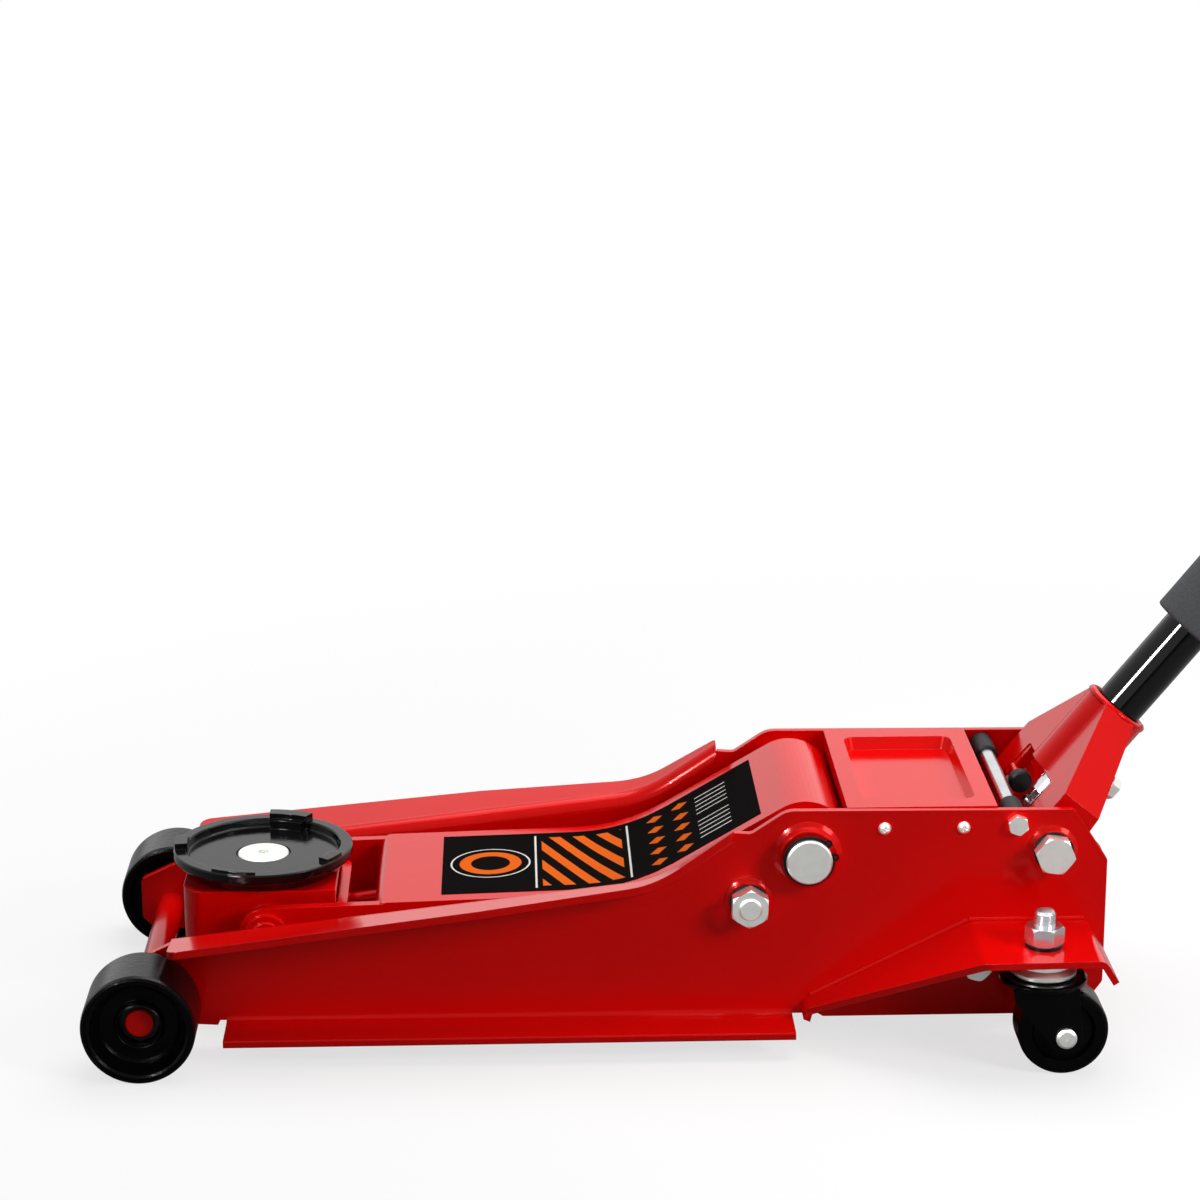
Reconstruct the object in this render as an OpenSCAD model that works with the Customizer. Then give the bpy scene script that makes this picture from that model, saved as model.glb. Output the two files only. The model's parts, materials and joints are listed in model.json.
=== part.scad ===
// Low-profile hydraulic trolley jack. Millimetres, +Z up, the front of the jack points to -X.
// The floor is z = 0, the jack's middle plane is y = 0, and left_ parts lie at -Y.
// Working x positions are counted from the front axle; the whole jack is then shifted so that
// its origin is at the middle of its bounding box, on the floor.

/* [Chassis] */
// Outside width over the two side plates
frame_w = 201; // [190:0.5:215]
// Thickness of the side plates
plate_t = 6; // [5:0.5:7]
// Height of the rear part of the side plates above the floor
frame_top = 186.5; // [180:0.5:192]
// Distance from the front axle to the rear edge of the side plates
frame_rear = 735.7; // [730:0.5:742]

/* [Wheels] */
// Diameter of the front wheels
wheel_d = 86.4; // [80:0.2:92]
// Width of each front wheel
wheel_w = 53.5; // [46:0.5:54]
// Outside width over the front wheels
track_w = 330; // [328:1:340]
// Diameter of the front axle
axle_d = 22; // [16:1:22]
// Diameter of the caster wheels
caster_d = 68.4; // [64:0.2:70]
// Horizontal distance between a caster's stud and its wheel axle
caster_trail = 14.5; // [10:0.5:16]

/* [Lift] */
// Distance from the front axle to the main pivot
pivot_x = 506; // [500:0.5:510]
// Height of the main pivot
pivot_z = 153; // [150:0.5:155]
// Length of the lift arm between its two pivots
arm_len = 420.4; // [415:0.2:425]
// Angle by which the lowered arm points down towards the front
arm_drop = 9.4; // [9:0.1:10]
// Diameter of the main pivot pin
pivot_d = 35; // [30:0.5:36]
// Outside width of the lift arm
arm_w = 154; // [150:0.5:158]
// Travel of the lift arm in degrees, for the clearance cut round the anchor shaft
arm_travel = 54; // [40:1:54]

/* [Saddle] */
// Outside diameter of the saddle
saddle_d = 141; // [130:1:142]
// Height of the saddle's rim when the jack is down
saddle_z = 130; // [129:0.5:134]

/* [Handle] */
// Angle of the handle above the floor in the stored position
handle_a = 51; // [40:0.5:60]
// Length of the handle from its pivot
handle_len = 1120; // [900:10:1300]
// Outside diameter of the handle tube
handle_d = 38; // [36:0.5:38]
// Outside diameter of the foam sleeve
foam_d = 60; // [50:1:66]

/* [Hidden] */

$fn = 64;
RED = [0.78, 0.05, 0.05];
BLACK = [0.10, 0.10, 0.11];
STEEL = [0.72, 0.73, 0.75];
CAST = [0.16, 0.16, 0.17];
FOAM = [0.22, 0.22, 0.23];

gap = 0.3;          // space between pieces that move past each other
fit = 0.05;         // radial clearance of a pin or shaft in its bore
lap = 0.05;         // how far the top flange's root stands out from the web

// Side plates
out_y = frame_w / 2;
in_y = out_y - plate_t;
web_bottom = 20;
bend_r = 11;        // outer radius of the pressed bends
flange_y = 138;     // reach of the bottom flange
flange_z = 16.5;    // underside of the bottom flange
flange_x0 = 60.7;
flange_x1 = 496;
top_x0 = 21.4;      // front tip of the top flange
top_x1 = 449;       // rear end of the top flange
top_tilt = 8;       // upward tilt of the top flange in degrees

// Centres of the wheels and the axle
axle_z = wheel_d / 2;
wheel_out = track_w / 2;
wheel_in = wheel_out - wheel_w;

// Four-bar lift: A main pivot, B head pivot, C rod anchor on the frame, D rod end on the head
A = [pivot_x, pivot_z];
B = A + arm_len * [-cos(arm_drop), -sin(arm_drop)];
C = A + [-44.4, -37.2];
D = B + C - A;
anchor_r = norm(C - A);
anchor_a = atan2(C[1] - A[1], C[0] - A[0]) + 360;
shaft_r = 11;       // rod anchor shaft between the plates
rod_y0 = 36;        // tie rods between these distances from the middle
rod_y1 = 49.5;
ear_r = 21;         // round front end of the arm's ears
hub_r = 34.3;       // round top of the arm over the main pivot
wall_y = arm_w / 2;
wall_t = 8;
deck_t = 6;
arm_run_x = 181;    // front edge of the arm's deck
arm_run_z = 109.2;

// Crank, links and ram
crank_r = 75;
crank_a = 300;
K = A + crank_r * [cos(crank_a), sin(crank_a)];
link_len = 44;
link_pin_r = 9;
ram_z = 83;
ram_r = 19;         // piston
rod_r = 16.5;
ram_tail = 698;
slot_rise = 6.5;    // free height of the ram pin in the ram's slot
slot_play = 1.2;    // free play of the ram pin along the ram
X = [K[0] + link_len, K[1]];

// Saddle and its bracket
saddle_x = B[0] - 6.4;
saddle_r = saddle_d / 2;
bracket_y = 57;
bracket_t = 7;
bracket_x0 = 25.5;
bracket_x1 = 142;
bracket_top = 112.5;

// Rear unit, cover and stop rod
cover_x0 = 536.5;
cover_x1 = 651.3;
cover_z = 188;
rod_x = 666;
rod_z = 175.6;
rod_bar_r = 6.6;
screw_x = [564.6, 624.9];
screw_z = 173.3;
unit_bolt_x = [638, 700];
unit_bolt_z = 60.3;

// Yoke and handle: local u runs up the handle, w towards the front, from the pivot P
P = [693.3, 154.7];
yoke_y = 88;
yoke_t = 5;
plate_w = 17.5;     // front face of the yoke's plate
tube_r = 26;
tube_u0 = 32;
tube_u1 = 103;
set_u = 50;         // set screw's place along the handle
joint_u = 620;      // bolt that joins the two handle tubes
handle_r = handle_d / 2;
pump_arm = 30;      // from the yoke's pivot to the pump roller
pump_a = -20;       // direction of the pump roller from the pivot, above the horizontal
pump_pin = P + pump_arm * [cos(pump_a), sin(pump_a)];
pump_roll_r = 10;
plunger_x = 718;
plunger_top = pump_pin[1] - pump_roll_r - gap;

// Casters
stud_x = 680;
stud_y = 154;
shelf_z = 97.8;     // top face of the caster brackets
shelf_t = 5;
shelf_y = 190;
caster_axle_z = caster_d / 2;
caster_w = 34;
fork_top = 76;
stud_head_r = 13;

// The bounding box runs from the front wheels to the grip's end
grip_r = 19.5;
grip_c = 3;         // edge chamfer of the grip's end
reach = P[0] + (handle_len - grip_c) * cos(handle_a) + grip_r * sin(handle_a);
mid_x = (reach - wheel_d / 2) / 2;

// ---------------------------------------------------------------- helpers

// Smallest signed angle between two directions
function wrap(a) = a - 360 * floor((a + 180) / 360);

// Points of an arc round c, from angle a0 to a1
function arc(c, r, a0, a1) =
    let (n = max(1, ceil(abs(a1 - a0) / 7)))
    [for (i = [0:n]) c + r * [cos(a0 + (a1 - a0) * i / n), sin(a0 + (a1 - a0) * i / n)]];

// The corner b between a and c, rounded with radius r
function corner(a, b, c, r) =
    let (u = (a - b) / norm(a - b),
        v = (c - b) / norm(c - b),
        half = acos(max(-1, min(1, u * v))) / 2,
        m = b + (u + v) / norm(u + v) * r / sin(half),
        s = b + u * r / tan(half),
        e = b + v * r / tan(half),
        a0 = atan2(s[1] - m[1], s[0] - m[0]),
        a1 = atan2(e[1] - m[1], e[0] - m[0]))
    arc(m, r, a0, a0 + wrap(a1 - a0));

// A closed outline whose points are [x, y, corner radius]
function rounded(pts) =
    let (n = len(pts))
    [for (i = [0:n - 1])
        let (p = pts[i], a = pts[(i + n - 1) % n], c = pts[(i + 1) % n])
        each p[2] > 0 ? corner([a[0], a[1]], [p[0], p[1]], [c[0], c[1]], p[2]) : [[p[0], p[1]]]];

// An open path whose inner points are [x, y, corner radius]
function rounded_path(pts) =
    let (n = len(pts))
    [for (i = [0:n - 1])
        let (p = pts[i])
        each i > 0 && i < n - 1 && p[2] > 0
            ? corner([pts[i - 1][0], pts[i - 1][1]], [p[0], p[1]],
                [pts[i + 1][0], pts[i + 1][1]], p[2])
            : [[p[0], p[1]]]];

// The path moved sideways by d, to its right
function shifted(path, d) =
    let (n = len(path))
    [for (i = [0:n - 1])
        let (t = path[min(n - 1, i + 1)] - path[max(0, i - 1)], q = t / norm(t))
        path[i] + d * [q[1], -q[0]]];

// Places everything from the front-axle frame into the jack's own frame
module placed() {
    translate([-mid_x, 0, 0]) children();
}

// A flat outline in x and z, made solid from y0 to y1
module slab(y0, y1) {
    translate([0, y1, 0]) rotate([90, 0, 0]) linear_extrude(y1 - y0) children();
}

// The same form on the right and on the left
module both_sides() {
    children();
    mirror([0, 1, 0]) children();
}

// A round bar along y
module bar_y(p, r, y0, y1) {
    translate([p[0], y0, p[1]]) rotate([-90, 0, 0]) cylinder(r = r, h = y1 - y0);
}

// A hexagon bar along y, measured across its flats
module hex_y(p, flats, y0, y1, turn = 0) {
    translate([p[0], y0, p[1]]) rotate([-90, 0, 0]) rotate([0, 0, turn])
        cylinder(r = flats / sqrt(3), h = y1 - y0, $fn = 6);
}

// A turned form along y: outline of [radius, distance], starting at y0
module turned_y(p, y0, outline) {
    translate([p[0], y0, p[1]]) rotate([-90, 0, 0]) rotate_extrude() polygon(outline);
}

// A round bar along x
module bar_x(y, z, r, x0, x1) {
    translate([x0, y, z]) rotate([0, 90, 0]) cylinder(r = r, h = x1 - x0);
}

// The yoke's own frame: x runs up the handle, z towards the front of the jack
module yoke_frame() {
    translate([P[0], 0, P[1]]) rotate([0, -handle_a, 0]) children();
}

// A tube along the handle
module handle_tube(r, r_in, u0, u1) {
    difference() {
        bar_x(0, 0, r, u0, u1);
        if (r_in > 0) bar_x(0, 0, r_in, u0 - 1, u1 + 1);
    }
}

// A closed sweep of equal rings of points
module swept(rings) {
    n = len(rings);
    m = len(rings[0]);
    polyhedron(
        points = [for (r = rings) each r],
        faces = concat(
            [[for (j = [m - 1:-1:0]) j]],
            [for (i = [0:n - 2], j = [0:m - 1])
                each [[i * m + j, i * m + (j + 1) % m, (i + 1) * m + j],
                    [i * m + (j + 1) % m, (i + 1) * m + (j + 1) % m, (i + 1) * m + j]]],
            [[for (j = [0:m - 1]) (n - 1) * m + j]]));
}

// A coil spring along x, centred on y and z
module coil_x(y, z, x0, x1, r, wire, turns) {
    steps = 12;
    sides = 6;
    swept([for (i = [0:turns * steps])
        let (a = 360 * i / steps, x = x0 + (x1 - x0) * i / (turns * steps))
        [for (j = [0:sides - 1])
            let (b = 360 * j / sides, q = r + wire * cos(b))
            [x + wire * sin(b), y + q * cos(a), z + q * sin(a)]]]);
}

// ---------------------------------------------------------------- side plates

// Bend line of the top flange: a shallow run, a bend of radius top_bend and a steep run
top_p = [[top_x0, 92.5], [390, 135.6], [top_x1, 175]];
top_bend = 90;
top_a1 = atan2(top_p[1][1] - top_p[0][1], top_p[1][0] - top_p[0][0]);
top_a2 = atan2(top_p[2][1] - top_p[1][1], top_p[2][0] - top_p[1][0]);
top_lead = top_bend * tan((top_a2 - top_a1) / 2);
top_t1 = top_p[1] - top_lead * [cos(top_a1), sin(top_a1)];
top_t2 = top_p[1] + top_lead * [cos(top_a2), sin(top_a2)];
top_m = top_t1 + top_bend * [-sin(top_a1), cos(top_a1)];

// Section across the top flange: reach from the middle plane and height over the bend line,
// thickened by e on both faces so that the runs, the bend and the web lap one another
function top_section(e) =
    let (c = [in_y + bend_r, -bend_r], rise = (160 - c[0]) * tan(top_tilt))
    concat([[in_y - e, -bend_r - 10]], arc(c, bend_r + e, 180, 90),
        [[160, rise + e], [160, rise - plate_t - e]],
        arc(c, bend_r - plate_t - e, 90, 180), [[out_y + e, -bend_r - 10]]);

// A straight run of the flange from p, going up at angle a
module flange_run(p, a, length) {
    translate([p[0], 0, p[1]]) rotate([0, -a, 0]) rotate([90, 0, 90])
        linear_extrude(length) polygon(top_section(lap));
}

// Top flange, cut to its tapering plan with rounded corners
module top_flange() {
    intersection() {
        union() {
            flange_run(top_p[0] - 3 * [cos(top_a1), sin(top_a1)], top_a1,
                norm(top_t1 - top_p[0]) + 5);
            translate([top_m[0], 0, top_m[1]]) rotate([90, 0, 0]) rotate([0, 0, top_a1 - 90])
                rotate_extrude(angle = top_a2 - top_a1)
                    polygon([for (p = top_section(2 * lap)) [top_bend - p[1], -p[0]]]);
            flange_run(top_t2 - 2 * [cos(top_a2), sin(top_a2)], top_a2,
                norm(top_p[2] - top_t2) + 14);
        }
        translate([0, 0, 50]) linear_extrude(160)
            polygon(rounded([[top_x0, in_y - 1, 0], [top_x1, in_y - 1, 0], [top_x1, 111, 4],
                [380, 123, 0], [256, 137, 0], [top_x0, 148, 9]]));
    }
}

// Flat web of the side plate, with its notch and its high rear part
module web_outline() {
    drop = bend_r + 2.5;
    rear = top_p[2] + drop * [sin(top_a2), -cos(top_a2)] - 15 * [cos(top_a2), sin(top_a2)];
    polygon(concat(
        rounded_path([[-24, 50, 0], [-24, 33, 4], [-15, 24, 4], [54, web_bottom, 0], [56, 24, 0],
            [flange_x0, 24, 0], [flange_x0, flange_z + bend_r + 4, 0],
            [flange_x1, flange_z + bend_r + 4, 0], [flange_x1, 23, 0],
            [515, 23, 1], [520, web_bottom, 2], [717, web_bottom, 5],
            [frame_rear, 46, 6], [frame_rear, 146, 5], [709.5, frame_top, 5],
            [490, frame_top + 1.5, 22], [463, 170, 7], [top_x1 + 1, 171, 0],
            [rear[0], rear[1], 0]]),
        [top_p[1] + [0.4, -1] * drop, top_p[0] + drop * [sin(top_a1), -cos(top_a1)]],
        rounded_path([[top_x0 + 1.5, 88.2, 0], [-24, 66, 5], [-24, 52, 0]])));
}

// Pressed bend and bottom flange
module bottom_flange() {
    c = [in_y + bend_r, flange_z + bend_r];
    translate([flange_x0, 0, 0]) rotate([90, 0, 90]) linear_extrude(flange_x1 - flange_x0)
        polygon(concat(
            [[in_y, c[1] + 6]],
            arc(c, bend_r, 180, 270),
            [[flange_y - 1, flange_z], [flange_y, flange_z + 1],
                [flange_y, flange_z + plate_t - 1], [flange_y - 1, flange_z + plate_t]],
            arc(c, bend_r - plate_t, 270, 180),
            [[out_y, c[1] + 6]]));
}

// Welded boss round a pin: a fillet weld at its foot and a turned collar
module boss(p, r, reach_y) {
    turned_y(p, out_y - 1, [[0, 0], [r, 0], [r, 1.4], [r - 1.6, 2.5], [r - 3.2, 3.5],
        [r - 3.5, reach_y + 0.2], [r - 4.4, reach_y + 1], [0, reach_y + 1]]);
}

module side_plate() {
    difference() {
        union() {
            slab(in_y, out_y) web_outline();
            bottom_flange();
            top_flange();
            boss(A, 26.3, 11);
            boss(C, 19, 4);
            boss(P, 19, 4);
        }
        bar_y(A, pivot_d / 2 + fit, 0, 130);
        bar_y(C, 9 + fit, 0, 130);
        bar_y(P, 9 + fit, 0, 130);
        bar_y([0, axle_z], axle_d / 2 + fit, 0, 130);
        bar_y([rod_x, rod_z], 4 + fit, 0, 130);
        for (x = screw_x) bar_y([x, screw_z], 2.6, 0, 130);
        for (x = unit_bolt_x) bar_y([x, unit_bolt_z], 6 + fit, 0, 130);
    }
}

module right_side_plate() { color(RED) placed() side_plate(); }
module left_side_plate() { color(RED) placed() mirror([0, 1, 0]) side_plate(); }

// ---------------------------------------------------------------- caster brackets

module caster_bracket() {
    run = rounded_path([[503, 26, 0], [505, 35, 7], [631, shelf_z, 18], [721, shelf_z, 9],
        [731.5, 81, 0]]);
    color(RED) placed() difference() {
        intersection() {
            slab(out_y, shelf_y) polygon(concat(run,
                [for (i = [len(run) - 1:-1:0]) shifted(run, shelf_t)[i]]));
            translate([0, 0, 10]) linear_extrude(100)
                polygon(rounded([[495, out_y, 0], [735, out_y, 0], [735, shelf_y - 3, 4],
                    [634, shelf_y, 16], [495, 116, 3]]));
        }
        translate([stud_x, stud_y, 0]) cylinder(r = 8 + fit, h = 130);
    }
}

module right_caster_bracket() { caster_bracket(); }
module left_caster_bracket() { mirror([0, 1, 0]) caster_bracket(); }

// ---------------------------------------------------------------- front wheels

module front_axle() {
    color(RED) placed() {
        turned_y([0, axle_z], -150, [[0, 0], [axle_d / 2 - 0.8, 0], [axle_d / 2, 0.8],
            [axle_d / 2, 299.2], [axle_d / 2 - 0.8, 300], [0, 300]]);
        both_sides() turned_y([0, axle_z], out_y + 0.02, [[axle_d / 2 - 1, 0],
            [axle_d / 2 + 5, 0], [axle_d / 2 + 5, wheel_in - out_y - 0.5],
            [axle_d / 2 - 1, wheel_in - out_y - 0.5]]);
    }
}

module wheel_retainers() {
    color(BLACK) placed() both_sides() difference() {
        translate([0, 144.5, axle_z]) rotate([-90, 0, 0]) cylinder(r = 15.6, h = 2.5, $fn = 8);
        bar_y([0, axle_z], axle_d / 2 + fit, 140, 150);
    }
}

// Cast wheel: crowned tread, recessed web and a hub boss
module front_wheel() {
    r = wheel_d / 2;
    w = wheel_w;
    bore = axle_d / 2 + fit;
    color(BLACK) placed() turned_y([0, axle_z], wheel_in, [[bore, 0], [18, 0], [18, 3],
        [33, 3], [36, 0], [r - 3, 0], [r - 0.8, 1], [r, 4], [r, w - 4], [r - 0.8, w - 1],
        [r - 2.8, w], [r - 5.4, w], [r - 7, w - 1.4], [31, w - 13], [29, w - 15],
        [19.5, w - 15], [18.3, w - 13], [18, w - 9], [16.8, w - 8], [16.2, w - 8.6],
        [16, w - 21 - gap], [bore, w - 21 - gap]]);
}

module right_front_wheel() { front_wheel(); }
module left_front_wheel() { mirror([0, 1, 0]) front_wheel(); }

// ---------------------------------------------------------------- pins and fasteners

module main_pivot_pin() {
    r = pivot_d / 2;
    y = 120;
    color(STEEL) placed() turned_y(A, -y, [[0, 0], [r - 1.2, 0], [r, 1.2], [r, 4],
        [r - 1.6, 4], [r - 1.6, 6.4], [r, 6.4], [r, 2 * y - 6.4], [r - 1.6, 2 * y - 6.4],
        [r - 1.6, 2 * y - 4], [r, 2 * y - 4], [r, 2 * y - 1.2], [r - 1.2, 2 * y],
        [0, 2 * y]]);
}

// Retaining rings of the main pin, each open at its two eyes
module pivot_circlips() {
    r = pivot_d / 2;
    color(BLACK) placed() both_sides() difference() {
        union() {
            bar_y(A, r + 2.2, 113.8, 115.8);
            for (a = [8, 44])
                bar_y(A + (r + 2.6) * [cos(a), sin(a)], 2.9, 113.8, 115.8);
        }
        bar_y(A, r - 1.5, 100, 130);
        slab(100, 130) polygon([A, A + 40 * [cos(17), sin(17)], A + 40 * [cos(35), sin(35)]]);
        for (a = [8, 44]) bar_y(A + (r + 2.6) * [cos(a), sin(a)], 1.2, 100, 130);
    }
}

module anchor_shaft() {
    color(STEEL) placed() {
        turned_y(C, -121, [[0, 0], [7.6, 0], [9, 1.4], [9, 26.8], [shaft_r, 26.8],
            [shaft_r, 215.2], [9, 215.2], [9, 240.6], [7.6, 242], [0, 242]]);
    }
}

// Nut with chamfered corners: a hexagon met with a double cone
module nut_y(p, flats, y0, h, bore, turn = 0) {
    difference() {
        intersection() {
            hex_y(p, flats, y0, y0 + h, turn);
            turned_y(p, y0, [[0, 0], [flats / 2 + 0.4, 0], [flats / 2 + 2.6, 1.6],
                [flats / 2 + 2.6, h - 1.6], [flats / 2 + 0.4, h], [0, h]]);
        }
        if (bore > 0) bar_y(p, bore, y0 - 1, y0 + h + 1);
    }
}

module anchor_nuts() {
    color(STEEL) placed() both_sides() nut_y(C, 27, 106.6, 12.6, 9 + fit, 92);
}

module black_washers() {
    color(BLACK) placed() {
        both_sides() {
            difference() {
                bar_y(C, 15.2, out_y + 4.02, 106.58);
                bar_y(C, 9 + fit, 90, 130);
            }
            difference() {
                bar_y(P, 15.4, out_y + 4.02, 106.8);
                bar_y(P, 9 + fit, 90, 130);
            }
            translate([stud_x, stud_y, shelf_z + 0.02]) difference() {
                cylinder(r = 14, h = 2.6);
                translate([0, 0, -1]) cylinder(r = 8 + fit, h = 6);
            }
        }
    }
}

module yoke_bolts() {
    color(STEEL) placed() both_sides() {
        bar_y(P, 9, 76, 106.9);
        nut_y(P, 27, 106.82, 11, 0, 8);
    }
}

module stop_rod_bolts() {
    color(STEEL) placed() both_sides() {
        nut_y([rod_x, rod_z], 14, out_y + 0.02, 5.8, 0, 80);
        bar_y([rod_x, rod_z], 4, 84, out_y + 1);
    }
}

module unit_bolts() {
    color(STEEL) placed() both_sides() for (x = unit_bolt_x) {
        nut_y([x, unit_bolt_z], 19, out_y + 0.02, 7.6, 0, 75);
        bar_y([x, unit_bolt_z], 6, 72, out_y + 1);
    }
}

// Pan-head screws with a cross recess
module cover_screws() {
    color(STEEL) placed() both_sides() for (x = screw_x) difference() {
        union() {
            turned_y([x, screw_z], out_y + 0.02, [[0, 0], [4.9, 0], [4.9, 1], [3.9, 2.6],
                [2.2, 3.4], [0, 3.6]]);
            bar_y([x, screw_z], 2.5, 86, out_y + 1);
        }
        for (a = [0, 90]) translate([x, out_y + 2.9, screw_z]) rotate([0, a + 20, 0])
            cube([5.4, 3, 1.2], center = true);
    }
}

// ---------------------------------------------------------------- cover and stop rod

// Pressed cover: a flat top, down-turned side lips and a drafted tool tray
module cover_tray() {
    t = 3;
    y = in_y - 0.4;
    cx = (550 + 637.5) / 2;
    half = (637.5 - 550) / 2;
    depth = 10;
    draft = 3.5;
    color(RED) placed() difference() {
        union() {
            difference() {
                translate([cover_x0, -y, cover_z - 26]) cube([cover_x1 - cover_x0, 2 * y, 26]);
                translate([cover_x0 - 1, t - y, cover_z - 30])
                    cube([cover_x1 - cover_x0 + 2, 2 * (y - t), 30 - t]);
                translate([cover_x0 + t, t - y, cover_z - 8 - t])
                    cube([cover_x1 - cover_x0 - 2 * t, 2 * (y - t), 8]);
            }
            translate([cover_x0, -y + 4, cover_z - 12]) cube([t, 2 * y - 8, 11]);
            translate([cover_x1 - t, -y + 4, cover_z - 12]) cube([t, 2 * y - 8, 11]);
            hull() {
                tray_layer(cx, half + t, 76 + t, cover_z - t, 9);
                tray_layer(cx, half + t - draft, 76 + t - draft, cover_z - depth - t, 7);
            }
        }
        hull() {
            tray_layer(cx, half, 76, cover_z + 1, 9);
            tray_layer(cx, half - draft, 76 - draft, cover_z - depth, 7);
        }
        both_sides() for (x = screw_x) bar_y([x, screw_z], 2.5 + fit, 84, 100);
    }
}

// One rounded rectangle of the tray, at height z
module tray_layer(cx, hx, hy, z, r) {
    translate([0, 0, z]) linear_extrude(0.5)
        polygon(rounded([[cx - hx, -hy, r], [cx + hx, -hy, r], [cx + hx, hy, r],
            [cx - hx, hy, r]]));
}

module stop_rod() {
    color(STEEL) placed() difference() {
        bar_y([rod_x, rod_z], rod_bar_r, 0.5 - in_y, in_y - 0.5);
        both_sides() bar_y([rod_x, rod_z], 4 + fit, 83, in_y + 1);
    }
}

module stop_rod_sleeves() {
    color(BLACK) placed() both_sides() difference() {
        turned_y([rod_x, rod_z], 60, [[0, 0], [7.6, 0], [9, 1.4], [9, in_y - 60.2],
            [0, in_y - 60.2]]);
        bar_y([rod_x, rod_z], rod_bar_r + fit, 50, 100);
    }
}

// ---------------------------------------------------------------- hydraulic unit

// Direction of the release valve: down the line of the stored handle
module along_valve() {
    translate([P[0], 0, P[1]]) rotate([0, -handle_a, 0]) children();
}

module pump_block() {
    color(RED) placed() difference() {
        union() {
            slab(-46, 46) polygon(rounded([[652, 38, 8], [729, 38, 8], [729, 93, 8],
                [708, 97, 3], [703, 108, 3], [690, 109, 6], [672, 122, 8], [652, 122, 4]]));
            for (x = unit_bolt_x) {
                slab(-in_y + 0.1, in_y - 0.1) polygon(rounded([[x - 15, 40, 8],
                    [x + 15, 40, 8], [x + 15, 78, 8], [x - 15, 78, 8]]));
            }
            slab(-46, 46) polygon([[630, 42], [660, 42], [660, 76], [630, 76]]);
            along_valve() bar_x(0, 0, 13, -60, -42);
            translate([plunger_x, 0, 60]) cylinder(r = 16, h = 38);
        }
        bar_x(0, ram_z, 40 + fit, 560, 652);
        bar_x(0, ram_z, ram_r + fit, 600, ram_tail + 3);
        along_valve() bar_x(0, 0, 6 + fit, -57, -30);
        translate([plunger_x, 0, 52]) cylinder(r = 10.5 + fit, h = 60);
        translate([plunger_x, 0, 98]) cylinder(r = 13 + gap, h = 20);
        both_sides() for (x = unit_bolt_x) bar_y([x, unit_bolt_z], 6 + fit, 70, 100);
        translate([660, 26, 100]) cylinder(r = 7 + fit, h = 40);
    }
}

// Oil tank round the ram's cylinder, with the two spring pegs
module oil_tank() {
    color(RED) placed() {
        difference() {
            union() {
                translate([610, 0, ram_z]) rotate([0, 90, 0]) rotate_extrude()
                    polygon([[0, 0], [36, 0], [40, 4], [40, 42], [0, 42]]);
                both_sides() bar_y([617, K[1]], 4.5, 30, 61);
            }
            bar_x(0, ram_z, 25, 600, 618);
            bar_x(0, ram_z, ram_r + fit, 600, 660);
        }
        both_sides() bar_y([617, K[1]], 7, 61, 63);
    }
}

module ram_gland() {
    color(STEEL) placed() difference() {
        union() {
            bar_x(0, ram_z, 24.9, 608, 617.9);
            bar_x(0, ram_z, 30, 604.5, 609.9);
        }
        bar_x(0, ram_z, rod_r + fit, 600, 620);
        for (a = [0:60:359]) translate([600, 27 * cos(a), ram_z + 27 * sin(a)])
            rotate([0, 90, 0]) cylinder(r = 2, h = 7);
    }
}

module filler_plug() {
    color(BLACK) placed() translate([660, 26, 112]) rotate_extrude()
        polygon([[0, 0], [7, 0], [7, 10.02], [9.5, 10.02], [9.5, 12.5], [7.5, 14.5],
            [0, 15]]);
}

module pump_cylinder() {
    color(STEEL) placed() translate([plunger_x, 0, 0]) difference() {
        union() {
            translate([0, 0, 52.05]) cylinder(r = 10.5, h = 49.9);
            translate([0, 0, 98.02]) cylinder(r = 13, h = 4);
        }
        translate([0, 0, 56]) cylinder(r = 7 + fit, h = 60);
    }
}

module pump_plunger() {
    color(STEEL) placed() translate([plunger_x, 0, 0]) {
        translate([0, 0, 76]) cylinder(r = 7, h = plunger_top - 78);
        translate([0, 0, plunger_top - 6]) rotate_extrude()
            polygon([[0, 0], [12, 0], [12, 4.5], [10.5, 6], [0, 6]]);
    }
}

module pump_spring() {
    z0 = 103.6;
    color(STEEL) placed() translate([plunger_x, 0, z0]) rotate([0, -90, 0])
        coil_x(0, 0, 0, plunger_top - 7.6 - z0, 9.6, 1.2, 4);
}

// Valve stem with the lower half of the universal joint and its cross
module release_valve() {
    color(STEEL) placed() along_valve() {
        bar_x(0, 0, 6, -56, -14);
        bar_x(0, 0, 9, -17, -12);
        both_sides_w() translate([-14, -4.5, 5.6]) cube([14, 9, 3.2]);
        both_sides_w() translate([0, 0, 5.6]) cylinder(r = 4.5, h = 3.2);
        translate([0, 0, -8.4]) cylinder(r = 2.4, h = 16.8);
        rotate([90, 0, 0]) translate([0, 0, -5]) cylinder(r = 2.4, h = 10);
        translate([-4, -4, -4]) cube(8);
    }
}

// The same form on the two sides of the handle's axis, front and rear
module both_sides_w() {
    children();
    mirror([0, 0, 1]) children();
}

// Slotted socket on the foot of the handle, with the upper half of the universal joint
module joint_socket() {
    color(STEEL) placed() yoke_frame() difference() {
        union() {
            bar_x(0, 0, 9.4, 13, 74);
            both_sides() translate([-0.5, 5.6, -4.5]) cube([16, 3.6, 9]);
            both_sides() translate([-0.5, 5.6, 0]) rotate([-90, 0, 0])
                cylinder(r = 4.5, h = 3.6);
        }
        bar_x(0, 0, 6.6, 18, 80);
        translate([24, -2, 0]) cube([60, 4, 12]);
        bar_y([56, 0], 3.1, -12, 12);
    }
}

// ---------------------------------------------------------------- ram and links

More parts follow.
